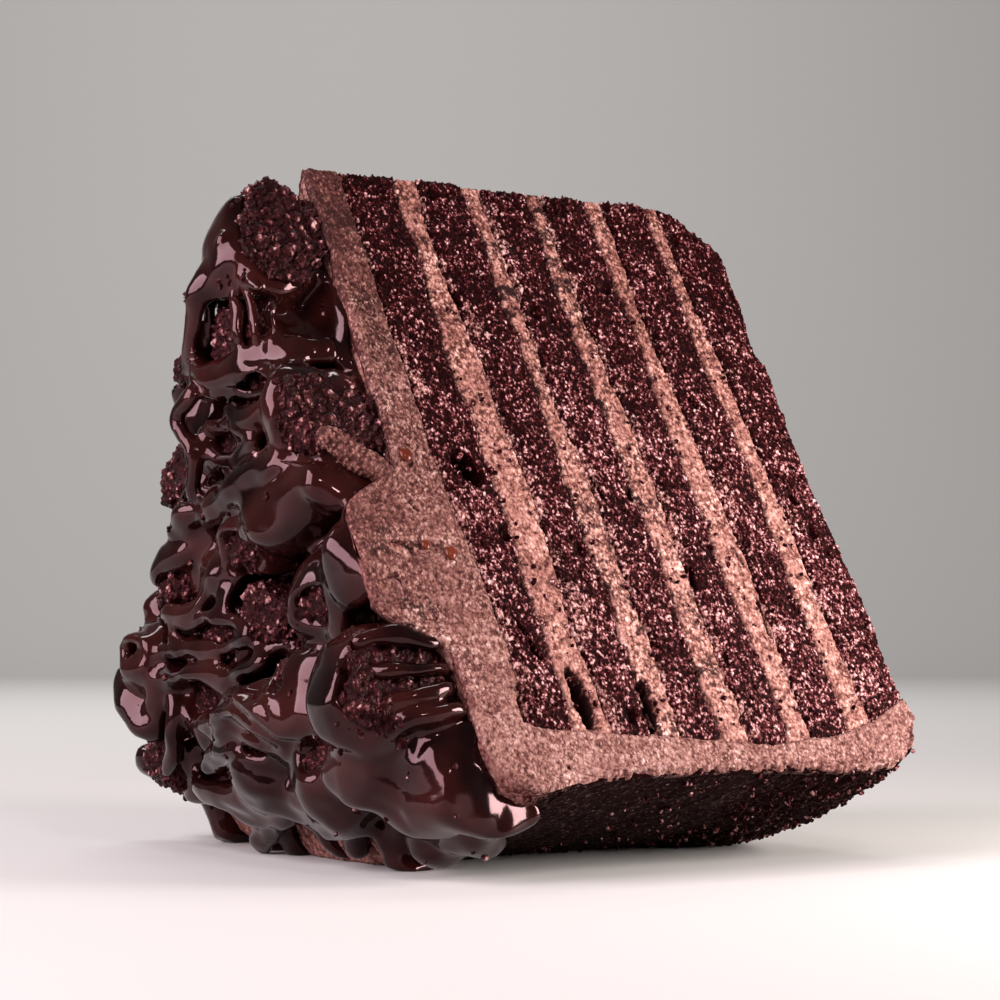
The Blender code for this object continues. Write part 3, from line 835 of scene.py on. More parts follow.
@dataclass
class LayerStack:
    """The six sponges and five fillings: bands that run down one cut, over the tip and down the other."""

    cake: Slice
    sponge: Material
    filling: Material
    near_step: float = 0.25
    far_step: float = 0.38
    depth_step: float = 0.25
    rim_points: int = 24
    tip_points: int = 14
    overlap: float = 0.35
    lap_depth: float = 1.5
    core_depth: float = 3.2
    middle_radius: float = 74.0
    base_start: float = 8.6
    base_step: float = 0.5
    base_columns: int = 241
    base_inset: float = 0.4
    base_thickness: float = 2.5
    base_back_stride: int = 60
    edge_waves: Noise = Noise(0.55, 4.5, 2, 40)
    edge_grain: Noise = Noise(0.3, 1.1, 1, 60)
    edge_spacing: float = 31.0
    last_edge_notches: Noise = Noise(1.0, 6.0, 3, 283)
    clean_edges_from: int = 7
    swell: float = 0.25
    stretch: float = 1.5
    narrowing: float = 2.0
    narrow_reach: Pair = (18.0, 80.0)
    tip_roughness: float = 0.7
    tip_reach: Pair = (3.0, 12.0)
    tip_shade: float = 0.2
    sawn_waves: Noise = Noise(0.35, 12.0, 2, 3)
    sawn_ripples: Noise = Noise(0.35, 3.0, 2, 5)
    sawn_crumbs: Crumbs = Crumbs((0.45, 1.0, 11), (0.4, 0.55, 13))
    sponge_pits: Holes = Holes(4.6, 17, 0.7, 0.14, 0.34)
    sliced_waves: Noise = Noise(0.22, 7.0, 2, 23)
    drag_lines: Noise = Noise(1.0, 0.8, 1, 29)
    drag_length: float = 7.0
    filling_holes: Holes = Holes(3.4, 37, 0.87, 0.06, 0.24)
    frayed_holes: Noise = Noise(0.12, 0.6, 1, 293)
    frayed_tears: Noise = Noise(1.0, 1.6, 2, 43)
    smear_patches: Noise = Noise(1.0, 2.6, 3, 47)
    smear_reach: Noise = Noise(2.2, 9.0, 1, 53)
    smear_length: float = 2.2
    streaked_layers: tuple[int, ...] = (3, 5)
    base_crumbs: Crumbs = Crumbs((0.6, 1.7, 233), (0.4, 0.8, 239))
    base_waves: Noise = Noise(0.35, 14.0, 3, 241)
    base_frosting: Noise = Noise(1.2, 9.0, 3, 251)

    def outline(self, along: Array) -> tuple[Array, Array, Array, Array]:
        """The slice's outline: down the near cut's line to the tip, round it, and back to the rim.

        Args:
            along: One along for each ring.

        Returns:
            Points (out, across, down), outward directions, radii, and lengths from the tip, below 0 on the near
            cut, each with a row for every ring.
        """
        cake = self.cake
        rim = cake.inner(along)[:, None] + 0.25
        tip_round = (0.8 + 0.8 * cake.tip_crumble * ease(cake.layer_ends[-2], cake.height, along))[:, None]
        tip_away = tip_round / math.tan(cake.half_turn)
        parts = []
        for side, step in ((Side.NEAR, self.near_step), (Side.FAR, self.far_step)):
            away, outward = cake.cut_frame(side)
            share = np.linspace(0.0, 1.0, int(cake.wall_radius / step))[None, :]
            radius = tip_away + (rim - tip_away) * share
            spot = radius[..., None] * away
            parts.append((spot, np.broadcast_to(outward, spot.shape), radius, side.value * radius))
        sideways = np.array([math.cos(cake.middle_turn), -math.sin(cake.middle_turn)])
        lean = np.linspace(-1.0, 1.0, self.tip_points + 2)[None, 1:-1] * (math.pi / 2.0 - cake.half_turn)
        outward = -np.cos(lean)[..., None] * cake.inward + np.sin(lean)[..., None] * sideways
        spot = (tip_round / math.sin(cake.half_turn))[..., None] * cake.inward + tip_round[..., None] * outward
        radius = np.linalg.norm(spot, axis=-1)
        tip = (spot, np.broadcast_to(outward, spot.shape), radius, tip_away * lean / np.abs(lean).max())
        turn = np.radians(np.linspace(cake.far_cut, cake.near_cut, self.rim_points + 2)[None, 1:-1])
        outward = np.stack([np.sin(turn), np.cos(turn)], -1)
        spot = rim[..., None] * outward
        wall = (spot, np.broadcast_to(outward, spot.shape), rim + 0.0 * turn, rim + 10.0 + 0.0 * turn)
        near, far = parts
        near = tuple(np.flip(value, axis=1) for value in near)
        spot, outward, radius, length = (np.concatenate(row, axis=1) for row in zip(near, tip, far, wall))
        out = np.broadcast_to(-along[:, None, None], (*spot.shape[:-1], 1))
        base = np.concatenate([out, spot], -1)
        return base, np.concatenate([np.zeros_like(out), outward], -1), radius, length

    def edge(self, number: int, radius: Array, length: Array) -> Array:
        """The along of a boundary on the skin: the solids' own surface, roughened where the knife crossed it.
        Each sponge is drawn to the icing towards the tip, and the last boundary is notched.

        Args:
            number: The boundary.
            radius: Distances from the tip.
            length: The same, below 0 on the near cut.

        Returns:
            The along.
        """
        angle = np.where(length < 0.0, self.cake.near_cut, self.cake.far_cut)
        spot = np.stack([np.full_like(length, self.edge_spacing * number), length, 0.0 * length], -1)
        rough = self.edge_waves.at(spot, number) + self.edge_grain.at(spot, number)
        rough = rough * (0.6 if number >= self.clean_edges_from else 1.0)
        level = self.cake.boundary(number, radius, angle) + rough
        last = len(self.cake.layer_ends) - 1
        if number % 2 == 0 and 0 < number < last:
            level = level - self.narrowing * (1.0 - ease(*self.narrow_reach, radius))
        if number == last:
            notched = 1.4 * np.clip(self.last_edge_notches.at(spot), 0.0, 0.7)
            return np.minimum(level, self.cake.height + 0.3) - notched
        return level

    def sponge_relief(self, spot: Array, share: Array) -> tuple[Array, Array]:
        """Sawn sponge: a low swell, slow waves, packed crumbs of two sizes and, in some cells, a pit.

        Args:
            spot: Places (along, length, 0), which the knife has stretched down the cut.
            share: How far through the layer they are.

        Returns:
            Heights, and painted shade at each place, from 0 to 1, most in the clefts and pits.
        """
        drawn = spot / np.array([1.0, self.stretch, 1.0])
        slow = self.sawn_waves.at(spot) + self.sawn_ripples.at(drawn)
        crumbs = self.sawn_crumbs.at(drawn) + 0.08
        pit = self.sponge_pits.at(drawn)
        coarse = 1.0 + self.tip_roughness * (1.0 - ease(*self.tip_reach, np.abs(spot[..., 1])))
        height = self.swell * np.sin(np.pi * share) * coarse + slow + coarse * (crumbs - 0.5) - pit
        return height, np.clip(0.9 - 1.8 * crumbs + 0.9 * pit - 0.5 * slow, 0.0, 1.0)

    def filling_relief(self, spot: Array, share: Array) -> tuple[Array, Array]:
        """Sliced frosting: slow waves, fine drag lines along the cake, a fine grain and small holes.

        Args:
            spot: Places (along, length, 0).
            share: How far through the layer they are; not used here.

        Returns:
            Heights, and painted shade at each place, from 0 to 1, most in the holes and between the grain.
        """
        slow = self.sliced_waves.at(spot)
        lines = self.drag_lines.at(spot / np.array([self.drag_length, 1.0, 1.0]))
        grain = crumb_height(spot, 0.8, 31)
        hole = self.filling_holes.at(spot, self.frayed_holes.at(spot))
        height = slow + 0.12 * lines + 0.3 * (grain - 0.5) - 0.6 * hole - 0.1
        return height, np.clip(0.32 - 0.55 * grain + 0.6 * hole - 0.12 * lines, 0.0, 1.0)

    def smeared(self, number: int, spot: Array, past_edge: Array, radius: Array, torn: Array) -> Array:
        """How much of its neighbour was dragged over a layer: most where the knife came in, in patches.

        Args:
            number: The layer.
            spot: Places (along, length, 0).
            past_edge: How far past the layer's first edge they are.
            radius: Their distance from the tip.
            torn: How far they are in a tear.

        Returns:
            Shares from 0 to 1.
        """
        patch = self.smear_patches.at(spot / np.array([self.smear_length, 1.0, 1.0]), number)
        reach = np.maximum(2.3 + self.smear_reach.at(spot), 0.5)
        if number % 2 == 0:
            smear = np.clip(0.75 + 1.3 * patch - past_edge / reach, 0.0, 0.62)
            smear = smear * (0.5 if number > self.clean_edges_from else 1.0)
            return smear * (1.0 - torn)
        smear = np.clip(0.15 + 1.5 * patch - past_edge / 1.4, 0.0, 0.9)
        smear = smear * (0.5 if number >= self.clean_edges_from else 1.0)
        smear = smear * (1.0 - 0.6 * ease(70.0, 105.0, radius))
        towards_tip = 1.0 - ease(10.0, 60.0, radius)
        smear = np.maximum(smear, towards_tip * np.clip(0.2 + 0.8 * patch, 0.0, 0.5))
        if number in self.streaked_layers:
            smear = np.clip(smear + 0.22 + 0.5 * patch, 0.0, 0.9)
        return np.maximum(smear, 0.95 * torn)

    def band(self, number: int) -> Skin:
        """One layer's skin: its outline, moved outwards by the relief, less the tears and the groove beside
        each neighbour. Two rings on each side go back under the neighbours, so that no gap shows.

        Args:
            number: The layer, 0 for the first sponge.

        Returns:
            The skin.
        """
        cake = self.cake
        low, high = cake.layer_ends[number], cake.layer_ends[number + 1]
        shares = np.linspace(0.0, 1.0, int((high - low) / self.depth_step))
        base, outward, radius, length = self.outline(low + (high - low) * shares)
        first, last = self.edge(number, radius, length), self.edge(number + 1, radius, length)
        along = first - self.overlap + (last - first + 2.0 * self.overlap) * shares[:, None]
        base[..., 0] = -along
        spot = np.stack([along, length, 0.0 * along], -1)
        relief = self.sponge_relief if number % 2 == 0 else self.filling_relief
        height, hollow = relief(spot, np.broadcast_to(shares[:, None], along.shape))
        jitter = self.frayed_tears.at(spot)
        torn = np.where(length < 0.0, tear_depth(NEAR_TEARS, along, radius, jitter), 0.0)
        torn = np.where(length > 0.0, tear_depth(FAR_TEARS, along, radius, jitter), torn)
        open_cut = ease(0.2, 1.0, torn)
        groove = 0.75 * (1.0 - ease(-self.overlap, 0.55, np.minimum(along - first, last - along)))
        groove = groove + 0.8 * (1.0 - ease(-0.3, 0.9, cake.inner(along) - radius))
        # Painted shade, more towards the tip and in the tears, and full on the hidden wall side.
        hollow = hollow + self.tip_shade * (1.0 - ease(*self.narrow_reach, radius)) + 0.5 * torn
        is_wall = length > radius + 5.0
        height = np.where(is_wall, 0.0, height * (1.0 - 0.8 * open_cut) - torn - groove)
        hollow = np.where(is_wall, 1.0, np.clip(hollow, 0.0, 1.0 + 0.4 * torn))
        rings = [self.sunk_ring(base[0], self.core_depth, 0.5), self.sunk_ring(base[0], self.lap_depth, 0.0)]
        rings += list(base + outward * height[..., None])
        rings += [self.sunk_ring(base[-1], self.lap_depth, 0.0), self.sunk_ring(base[-1], self.core_depth, -0.5)]
        skin = closed_tube(np.stack(rings))
        smear = self.smeared(number, spot, along - first, radius, open_cut)
        for name, value in (("hollow", hollow), ("smear", smear)):
            covered = np.pad(value, ((2, 2), (0, 0)), constant_values=1.0)
            skin.values[name] = np.append(covered, [1.0, 1.0])
        return skin

    def base(self) -> Skin:
        """The underside of the last sponge, which stands upright here: rows of equal radius, a little inside
        both cuts, with packed crumbs on them and a flat back.

        Returns:
            The skin.
        """
        cake = self.cake
        shift = self.base_inset / math.sin(cake.half_turn)
        radius = np.arange(self.base_start, cake.inner(cake.height) - 0.3, self.base_step)[:, None]
        turn = np.linspace(cake.near_cut, cake.far_cut, self.base_columns)[None, :]
        front = cake.round_point(cake.boundary(len(cake.layer_ends) - 1, radius, turn), radius - shift, turn)
        front[..., 1:] += shift * cake.inward
        crumbs = self.base_crumbs.at(front)
        patch = np.clip(self.base_frosting.at(front) - 0.45, 0.0, 0.4)
        border = np.minimum(ease(0.0, 2.0, radius - self.base_start), ease(0.0, 3.0, radius[-1] - radius))
        to_cut = np.radians(np.minimum(turn - cake.near_cut, cake.far_cut - turn)) * radius
        border = border * ease(0.0, 2.5, to_cut)
        front[..., 0] -= 0.1 + (0.4 + 0.6 * border) * (self.base_waves.at(front) + 1.1 * (crumbs - 0.5))
        front[..., 0] += 1.1 * (1.0 - ease(0.0, 2.2, to_cut))
        back_turn = slice(None, None, -self.base_back_stride)
        back = front[:, back_turn] + np.array([self.base_thickness, 0.0, 0.0])
        skin = closed_tube(np.concatenate([front, back], axis=1), strip_cap(turn[0], turn[0, back_turn]))
        # Painted shade in the clefts between the crumbs; patches of frosting veil it.
        for name, value in (("hollow", np.clip(0.85 - 1.6 * crumbs, 0.0, 1.0)), ("smear", patch)):
            skin.values[name] = np.pad(value, ((0, 0), (0, back.shape[1]))).ravel()
        return skin

    def sunk_ring(self, ring: Array, depth: float, inwards: float) -> Array:
        """A ring drawn in by a depth from both cuts, by one share for all its points, and moved along inwards."""
        middle, half = (self.middle_radius * way for way in (self.cake.inward, math.sin(self.cake.half_turn)))
        return np.column_stack([ring[:, 0] - inwards, middle + (ring[:, 1:] - middle) * (1.0 - depth / half)])

    def build(self) -> None:
        """Makes all eleven layers, and the last one's underside."""
        make_piece(self.cake, "baked_base", self.base(), self.sponge, ("sponge_6",))
        kinds = (("sponge", self.sponge), ("filling", self.filling))
        for number in range(len(self.cake.layer_ends) - 1):
            kind, finish = kinds[number % 2]
            node = f"{kind}_{number // 2 + 1}"
            make_piece(self.cake, "cut_" + node, self.band(number), finish, (node,))


@dataclass
class Icing:
    """The frosting over the cake's top and round its wall, with the two places where the knife went through it."""

    cake: Slice
    finish: Material
    shaded_wall_finish: Material
    cut_step: float = 0.3
    across_points: int = 38
    back_points: int = 4
    slab_depth: float = 2.4
    corner_start: float = 111.0
    corner_along: float = 13.0
    corner_length: float = 24.0
    inner_corner: float = 115.9
    top_gap: float = 0.25
    wall_gap: float = 0.6
    coat_step: float = 0.6
    coat_columns: int = 200
    coat_inset: float = 1.3
    crumb_coat: Pair = (50.0, 64.0)
    clean_from: Pair = (15.0, 95.0)
    upper_shade: float = 0.45
    upper_reach: Pair = (12.0, 42.0)
    flap_shade: Pair = (0.17, 0.15)
    flap_end: Pair = (88.0, 106.0)
    wall_shade_reach: Pair = (4.0, 14.0)
    edge_wobble: float = 0.45
    cut_waves: Noise = Noise(1.0, 9.0, 3, 79)
    cut_lines: Noise = Noise(1.0, 1.1, 1, 73)
    line_length: float = 8.0
    cut_holes: Holes = Holes(4.2, 83, 0.82, 0.05, 0.2)
    burr: Noise = Noise(0.9, 2.6, 2, 89)
    frayed_tears: Noise = Noise(1.0, 1.6, 2, 97)
    cut_crumb: Noise = Noise(1.6, 3.2, 3, 101)
    upper_crumb: Noise = Noise(0.9, 4.0, 3, 253)
    flap_crumb: Noise = Noise(1.0, 3.2, 3, 257)
    edge_waves: Noise = Noise(1.0, 4.0, 3, 263)
    stroke_waves: Noise = Noise(0.35, 3.4, 3, 103)
    stroke_length: float = 12.0
    coat_waves: Noise = Noise(0.25, 8.0, 2, 107)
    coat_crumbs: Crumbs = Crumbs((0.65, 2.1, 113), (0.35, 0.9, 127))
    coat_border: Noise = Noise(5.0, 9.0, 2, 109)
    wall_shade_border: Noise = Noise(3.0, 7.0, 2, 137)
    lip_path: tuple[Triple, ...] = (
        (12.4, -30.6, 52.1), (9.7, -31.6, 53.8), (7.0, -32.8, 55.9), (4.1, -33.8, 57.6), (1.5, -35.2, 60.1))
    lip_radius: float = 2.2
    lip_step: float = 0.24
    lip_swing: Noise = Noise(4.5, 3.0, 2, 277)
    lip_waves: Noise = Noise(0.6, 3.4, 3, 281)
    rib_pitch: float = 1.1
    rib_height: float = 0.06

    def stations(self, angle: float, step: float) -> tuple[Array, Array]:
        """Pairs of points (along, radius) on the icing's outer and inner skins, from the tip to its end.

        Args:
            angle: The angle at which the flap is read.
            step: How far apart the pairs are.

        Returns:
            The outer points and the inner points.
        """
        cake = self.cake
        radius = np.arange(1.2, self.corner_start, step)
        turn = angle + 0.0 * radius
        top_outer = np.stack([-cake.flap(radius, turn), radius], -1)
        top_inner = np.stack([cake.boundary(0, radius, turn) + self.top_gap, radius], -1)
        bend = np.linspace(0.0, 1.0, int(self.corner_length / step))
        corner = [(0.0, self.corner_start), *(p for p in cake.outer_wall if p[0] < self.corner_along)]
        corner.append((self.corner_along, float(cake.outer(self.corner_along))))
        under = [(cake.layer_ends[0], self.corner_start), (cake.layer_ends[0], self.inner_corner),
                 (self.corner_along, float(cake.inner(self.corner_along)) - self.wall_gap)]
        bent_outer, bent_inner = (along_path(np.array(path), bend) for path in (corner, under))
        along = np.arange(self.corner_along, cake.wall_end, step)
        wall_outer = np.stack([along, cake.outer(along)], -1)
        wall_inner = np.stack([along, cake.inner(along) - self.wall_gap], -1)
        outer = np.concatenate([top_outer, bent_outer, wall_outer])
        return outer, np.concatenate([top_inner, bent_inner, wall_inner])

    def cut_relief(self, seeded: Array, from_outer: Array, from_inner: Array, torn: Array) -> tuple[Array, Array]:
        """Cut icing: slow waves, drag lines along the cake, grain, holes, a burr on the outer edge and a
        groove at the inner one, all flatter in a tear.

        Args:
            seeded: Places (along, length, 0).
            from_outer: How far they are from the outer skin.
            from_inner: How far they are from the inner skin.
            torn: How deep the tears are.

        Returns:
            Heights, and painted shade at each place, most in the holes and tears and between the grain.
        """
        grain = crumb_height(seeded, 0.9, 71)
        lines = self.cut_lines.at(seeded / np.array([self.line_length, 1.0, 1.0]))
        hole = self.cut_holes.at(seeded)
        burr = ease(0.1, 0.9, 0.5 + self.burr.at(seeded))
        height = 0.4 * self.cut_waves.at(seeded) + 0.13 * lines + 0.34 * (grain - 0.5) - 0.6 * hole
        height = height + 0.7 * burr * (1.0 - ease(0.5, 2.2, from_outer))
        height = height - 0.9 * (1.0 - ease(0.0, 0.7, from_outer)) - 0.75 * (1.0 - ease(0.0, 0.9, from_inner))
        height = height * (1.0 - 0.8 * ease(0.2, 1.0, torn)) - torn
        return height, 0.3 - 0.5 * grain + 0.6 * hole - 0.1 * lines + 0.4 * torn

    def cut_slab(self, side: Side) -> Skin:
        """A thin plate at one cut: stations across the icing, moved out of the cut by the relief. It has painted
        shade over all but the part near the rim, more on the flap and near the tip, and has crumb beside the
        sponge, on its upper half and on the flap. Its outer edge wobbles, and crumbles on the wall.

        Args:
            side: The cut.

        Returns:
            The skin.
        """
        cake = self.cake
        outer, inner = self.stations(cake.cut_angle(side), self.cut_step * (1.0 if side is Side.NEAR else 1.5))
        share = np.linspace(0.0, 1.0, self.across_points)[None, :, None]
        spot = outer[:, None] + (inner - outer)[:, None] * share
        along, radius = spot[..., 0], spot[..., 1]
        thick = np.linalg.norm(inner - outer, axis=1)[:, None]
        from_outer = share[..., 0] * thick
        seeded = np.stack([along, side.value * radius, 0.0 * along], -1)
        tears = NEAR_ICING_TEARS if side is Side.NEAR else ()
        torn = tear_depth(tears, along, radius, self.frayed_tears.at(seeded))
        height, hollow = self.cut_relief(seeded, from_outer, thick - from_outer, torn)
        # Painted shade over all but the part near the rim, more on the flap and towards the tip.
        shade = self.flap_shade[0] + self.flap_shade[1] * ease(2.0, -3.0, along)
        shade = shade * (1.0 - ease(*self.flap_end, radius))
        shade = shade + self.upper_shade * (1.0 - ease(*self.upper_reach, radius))
        hollow = np.clip(hollow + shade, 0.0, 1.0 + 0.5 * torn)
        beside = np.clip(self.cut_crumb.at(seeded) - 0.45 - 0.2 * (thick - from_outer), 0.0, 0.85)
        upper = (1.0 - ease(*self.clean_from, radius)) * np.clip(0.42 + self.upper_crumb.at(seeded), 0.1, 0.7)
        flap = ease(62.0, 74.0, radius) * (1.0 - ease(98.0, 106.0, radius)) * (1.0 - ease(-2.0, 3.0, along))
        flap = flap * ease(0.15, 0.5, self.flap_crumb.at(seeded)) * 0.6
        smear = np.clip(np.maximum(np.maximum(beside, flap), upper) + 0.4 * torn, 0.0, 0.95)
        on_wall = ease(12.0, 24.0, along)
        wobble = self.edge_wobble * (1.0 + on_wall) * self.edge_waves.at(seeded)
        wobble = wobble + 1.1 * on_wall * (crumb_height(seeded, 2.2, 271) - 0.5)
        wobble = wobble * (1.0 - ease(0.0, 3.0, from_outer))
        wobble = wobble * np.maximum(1.0 - ease(100.0, 108.0, radius), on_wall)
        moved = spot + wobble[..., None] * ((outer - inner)[:, None] / thick[..., None])
        away, outward = cake.cut_frame(side)
        front = np.concatenate([-moved[..., :1], moved[..., 1:] * away + height[..., None] * outward], -1)
        shares = np.linspace(1.0, 0.0, self.back_points)[None, :, None]
        rear = outer[:, None] + (inner - outer)[:, None] * (0.04 + 0.92 * shares)
        back = np.concatenate([-rear[..., :1], rear[..., 1:] * away - self.slab_depth * outward], -1)
        rings = np.concatenate([front, back], axis=1)
        rings[..., 2] = np.minimum(rings[..., 2], cake.axis_height)
        skin = closed_tube(rings)
        for name, value, rest in (("hollow", hollow, 1.0), ("smear", smear, 0.0)):
            covered = np.pad(value, ((0, 0), (0, self.back_points)), constant_values=rest)
            skin.values[name] = np.append(covered, [0.0, 0.0])
        return skin

    def coat(self) -> Skin:
        """The icing between the cuts, as rings of its L-shaped section: strokes of the spatula run round the
        wall, and the wall's lower part is rough with crumbs. Past the top's rounded edge the wall is veiled
        nearly black as painted shade, and the clefts and pores get painted shade too.

        Returns:
            The skin.
        """
        cake = self.cake
        angles = np.linspace(cake.near_cut + 0.25, cake.far_cut - 0.25, self.coat_columns)[:, None]
        outer, inner = self.stations(0.0, self.coat_step)
        is_top = outer[:, 1] < self.corner_start - 0.5
        stations = np.arange(len(outer))
        kept = ~is_top | (stations % 3 == 0)
        cap = strip_cap(stations[kept], stations[::-6])
        outer, inner = outer[kept], inner[::-6]
        along = np.broadcast_to(outer[:, 0], (len(angles), len(outer)))
        radius = np.broadcast_to(outer[:, 1], along.shape)
        turn = angles + 0.0 * along
        along = np.where(radius < self.corner_start - 0.5, -cake.flap(radius, turn), along)
        front = cake.round_point(along, radius, turn)
        back = cake.round_point(inner[None, :, 0] + 0.3, inner[None, :, 1], angles + 0.0 * inner[None, :, 0])
        skin = closed_tube(np.concatenate([front, back], axis=1), cap)
        length = np.radians(turn) * cake.wall_radius
        seeded = np.stack([along + np.maximum(cake.wall_radius - radius, 0.0), length, 0.0 * along], -1)
        strokes = self.stroke_waves.at(seeded / np.array([1.0, self.stroke_length, 1.0]))
        strokes = strokes + self.coat_waves.at(seeded)
        rough = ease(*self.crumb_coat, along + self.coat_border.at(seeded))
        crumbs = self.coat_crumbs.at(seeded)
        porous = crumb_height(seeded, 1.2, 131)
        height = strokes + rough * 1.5 * (crumbs - 0.45) + (1.0 - rough) * 0.25 * (porous - 0.6)
        height = height - 0.35 * ease(4.0, 0.5, cake.wall_end - along)
        # The veil is the real crumb coat low on the wall, and painted shade from the top's rounded edge on.
        dark = 1.1 * ease(*self.wall_shade_reach, along + self.wall_shade_border.at(seeded))
        smear = np.maximum(rough * np.clip(0.55 + 0.7 * crumbs, 0.0, 1.0), dark)
        # Painted shade in the clefts of the crumbs and the pores.
        hollow = np.clip(0.25 - 0.3 * porous + rough * (0.5 - 0.9 * crumbs), 0.0, 1.0)
        behind = ((0, 0), (0, back.shape[1]))
        skin.pushed(np.pad(height, behind).ravel())
        for side in Side:
            inset = self.coat_inset - 0.8 * ease(60.0, 105.0, np.linalg.norm(skin.points[:, 1:], axis=1))
            skin.points = cake.drawn_in(skin.points, side, inset)
        skin.points[:, 2] = np.minimum(skin.points[:, 2], cake.axis_height)
        for name, value in (("hollow", hollow), ("smear", smear)):
            skin.values[name] = np.pad(value, behind).ravel()
        return skin

    def lip(self) -> Skin:
        """A curl of icing that the knife drew out along the near cut: a rope with a sine's ribs across it.

        Returns:
            The skin.
        """
        path = np.array(self.lip_path)
        body = Field(path.min(0) - 6.0, path.max(0) + 6.0, self.lip_step)
        body.add_rope(Rope(self.lip_radius, self.lip_path), 0.8)
        skin = body.skin().smoothed(2)
        run = (path[-1] - path[0]) / np.linalg.norm(path[-1] - path[0])
        ribs = np.sin(2.0 * math.pi * (skin.points @ run) / self.rib_pitch + self.lip_swing.at(skin.points))
        skin.pushed(self.rib_height * ribs + self.lip_waves.at(skin.points))
        skin.points = self.cake.drawn_in(skin.points, Side.NEAR, -1.4, 0.8)
        # Painted shade in the grooves between the ribs.
        skin.values["hollow"] = np.clip(0.48 - 0.16 * ribs, 0.0, 1.0)
        skin.values["smear"] = np.full(len(skin.points), 0.3)
        return skin

    def build(self) -> None:
        """Makes the coat, the lip and both cuts."""
        skins = [("icing_coat", self.coat(), self.shaded_wall_finish), ("icing_lip", self.lip(), self.finish)]
        skins += [(f"icing_cut_{side.name.lower()}", self.cut_slab(side), self.finish) for side in Side]
        for name, skin, finish in skins:
            make_piece(self.cake, name, skin, finish, ("icing",))


def along_path(path: Array, shares: Array) -> Array:
    """Points at shares of the length of a path of straight pieces."""
    lengths = np.concatenate([[0.0], np.cumsum(np.linalg.norm(np.diff(path, axis=0), axis=1))])
    return np.stack([np.interp(shares * lengths[-1], lengths, place) for place in path.T], -1)


class Chunk(NamedTuple):
    """A piece of cake in the topping: its middle and half sizes as (out, across, down), how it is turned in
    degrees, the way its bare side faces, the radius of the window in the fudge over it, or 0 where it stands out,
    and how far it stays inside the cuts."""

    middle: Triple
    half: Triple
    turn: Triple
    bare: Triple
    window: float = 0.0
    from_cuts: float = 0.5


CHUNKS = (
    Chunk((7.8, -4, 15.6), (8.8, 12, 10.4), (0, 34, 0), (-0.35, -0.7, -0.6)),
    Chunk((11.5, -2.5, 32.4), (6, 7, 5), (12, 8, 10), (1, 0.2, -0.3)),
    Chunk((10, 13, 37), (6.8, 5.4, 5.6), (-14, 20, 8), (0.9, 0.6, 0.2)),
    Chunk((8.8, -8, 42), (6.4, 5.4, 3.8), (6, -10, 4), (1, -0.3, -0.4)),
    Chunk((8.2, -24.6, 48), (8.8, 7.2, 7.8), (4, -8, 6), (0.25, -1, 0.1)),
    Chunk((8.6, -1, 52.8), (6.8, 7, 6), (10, 12, -8), (1, 0, -0.1), 5),
    Chunk((9.4, 19.4, 57.5), (7.2, 6.6, 7.4), (-8, 16, 12), (0.8, 0.7, -0.1)),
    Chunk((8.6, -5, 68.8), (6.8, 8, 6.6), (6, 4, 14), (1, -0.2, 0.5), 4.8),
    Chunk((6.6, -27, 79.4), (6.8, 6.2, 6.8), (-6, 10, 6), (0.9, -0.4, 0.3), 4.2),
    Chunk((7, -10, 82.4), (7, 7.4, 5.6), (8, -6, 10), (1, -0.3, -0.9)),
    Chunk((9.4, 20, 76.6), (7.6, 7.4, 6.4), (10, 14, -6), (0.9, 0.3, 0.4)),
    Chunk((8.4, 6, 87), (6.4, 7, 5.2), (4, 6, 8), (1, -0.2, -0.1), 5.4),
    Chunk((9.4, -47, 94), (9.4, 10, 9), (6, 12, -10), (0, -1, -0.4), 0, 2.6),
    Chunk((9.6, -23.5, 94), (5.6, 7, 4.8), (-5, 8, 4), (1, 0.5, -0.3), 3),
    Chunk((12.4, 26.5, 91), (8, 7.4, 7.2), (12, 18, 10), (1, 0.3, -0.3), 5.2),
    Chunk((8.8, 10.5, 99.6), (6.6, 6.8, 5.6), (-8, 6, 12), (1, -0.2, -0.4), 5.2),
    Chunk((7.4, -8.5, 107.6), (7.2, 7.8, 6.6), (6, -4, 8), (1, -0.3, -0.7), 3.8),
    Chunk((8.6, 26.4, 108.6), (7.8, 8, 7), (10, 16, -12), (0.9, 0.4, 0.2)),
    Chunk((8, 40.5, 97), (7.4, 6, 7.4), (8, -10, 6), (0.4, 1, 0)),
    Chunk((6.8, -27.5, 108.5), (6.2, 7.4, 6.2), (-6, 6, 8), (0.9, -0.3, -0.3), 3.4),
)


class Lump(NamedTuple):
    """A mass of fudge: its middle and half sizes as (out, across, down)."""

    middle: Triple
    half: Triple


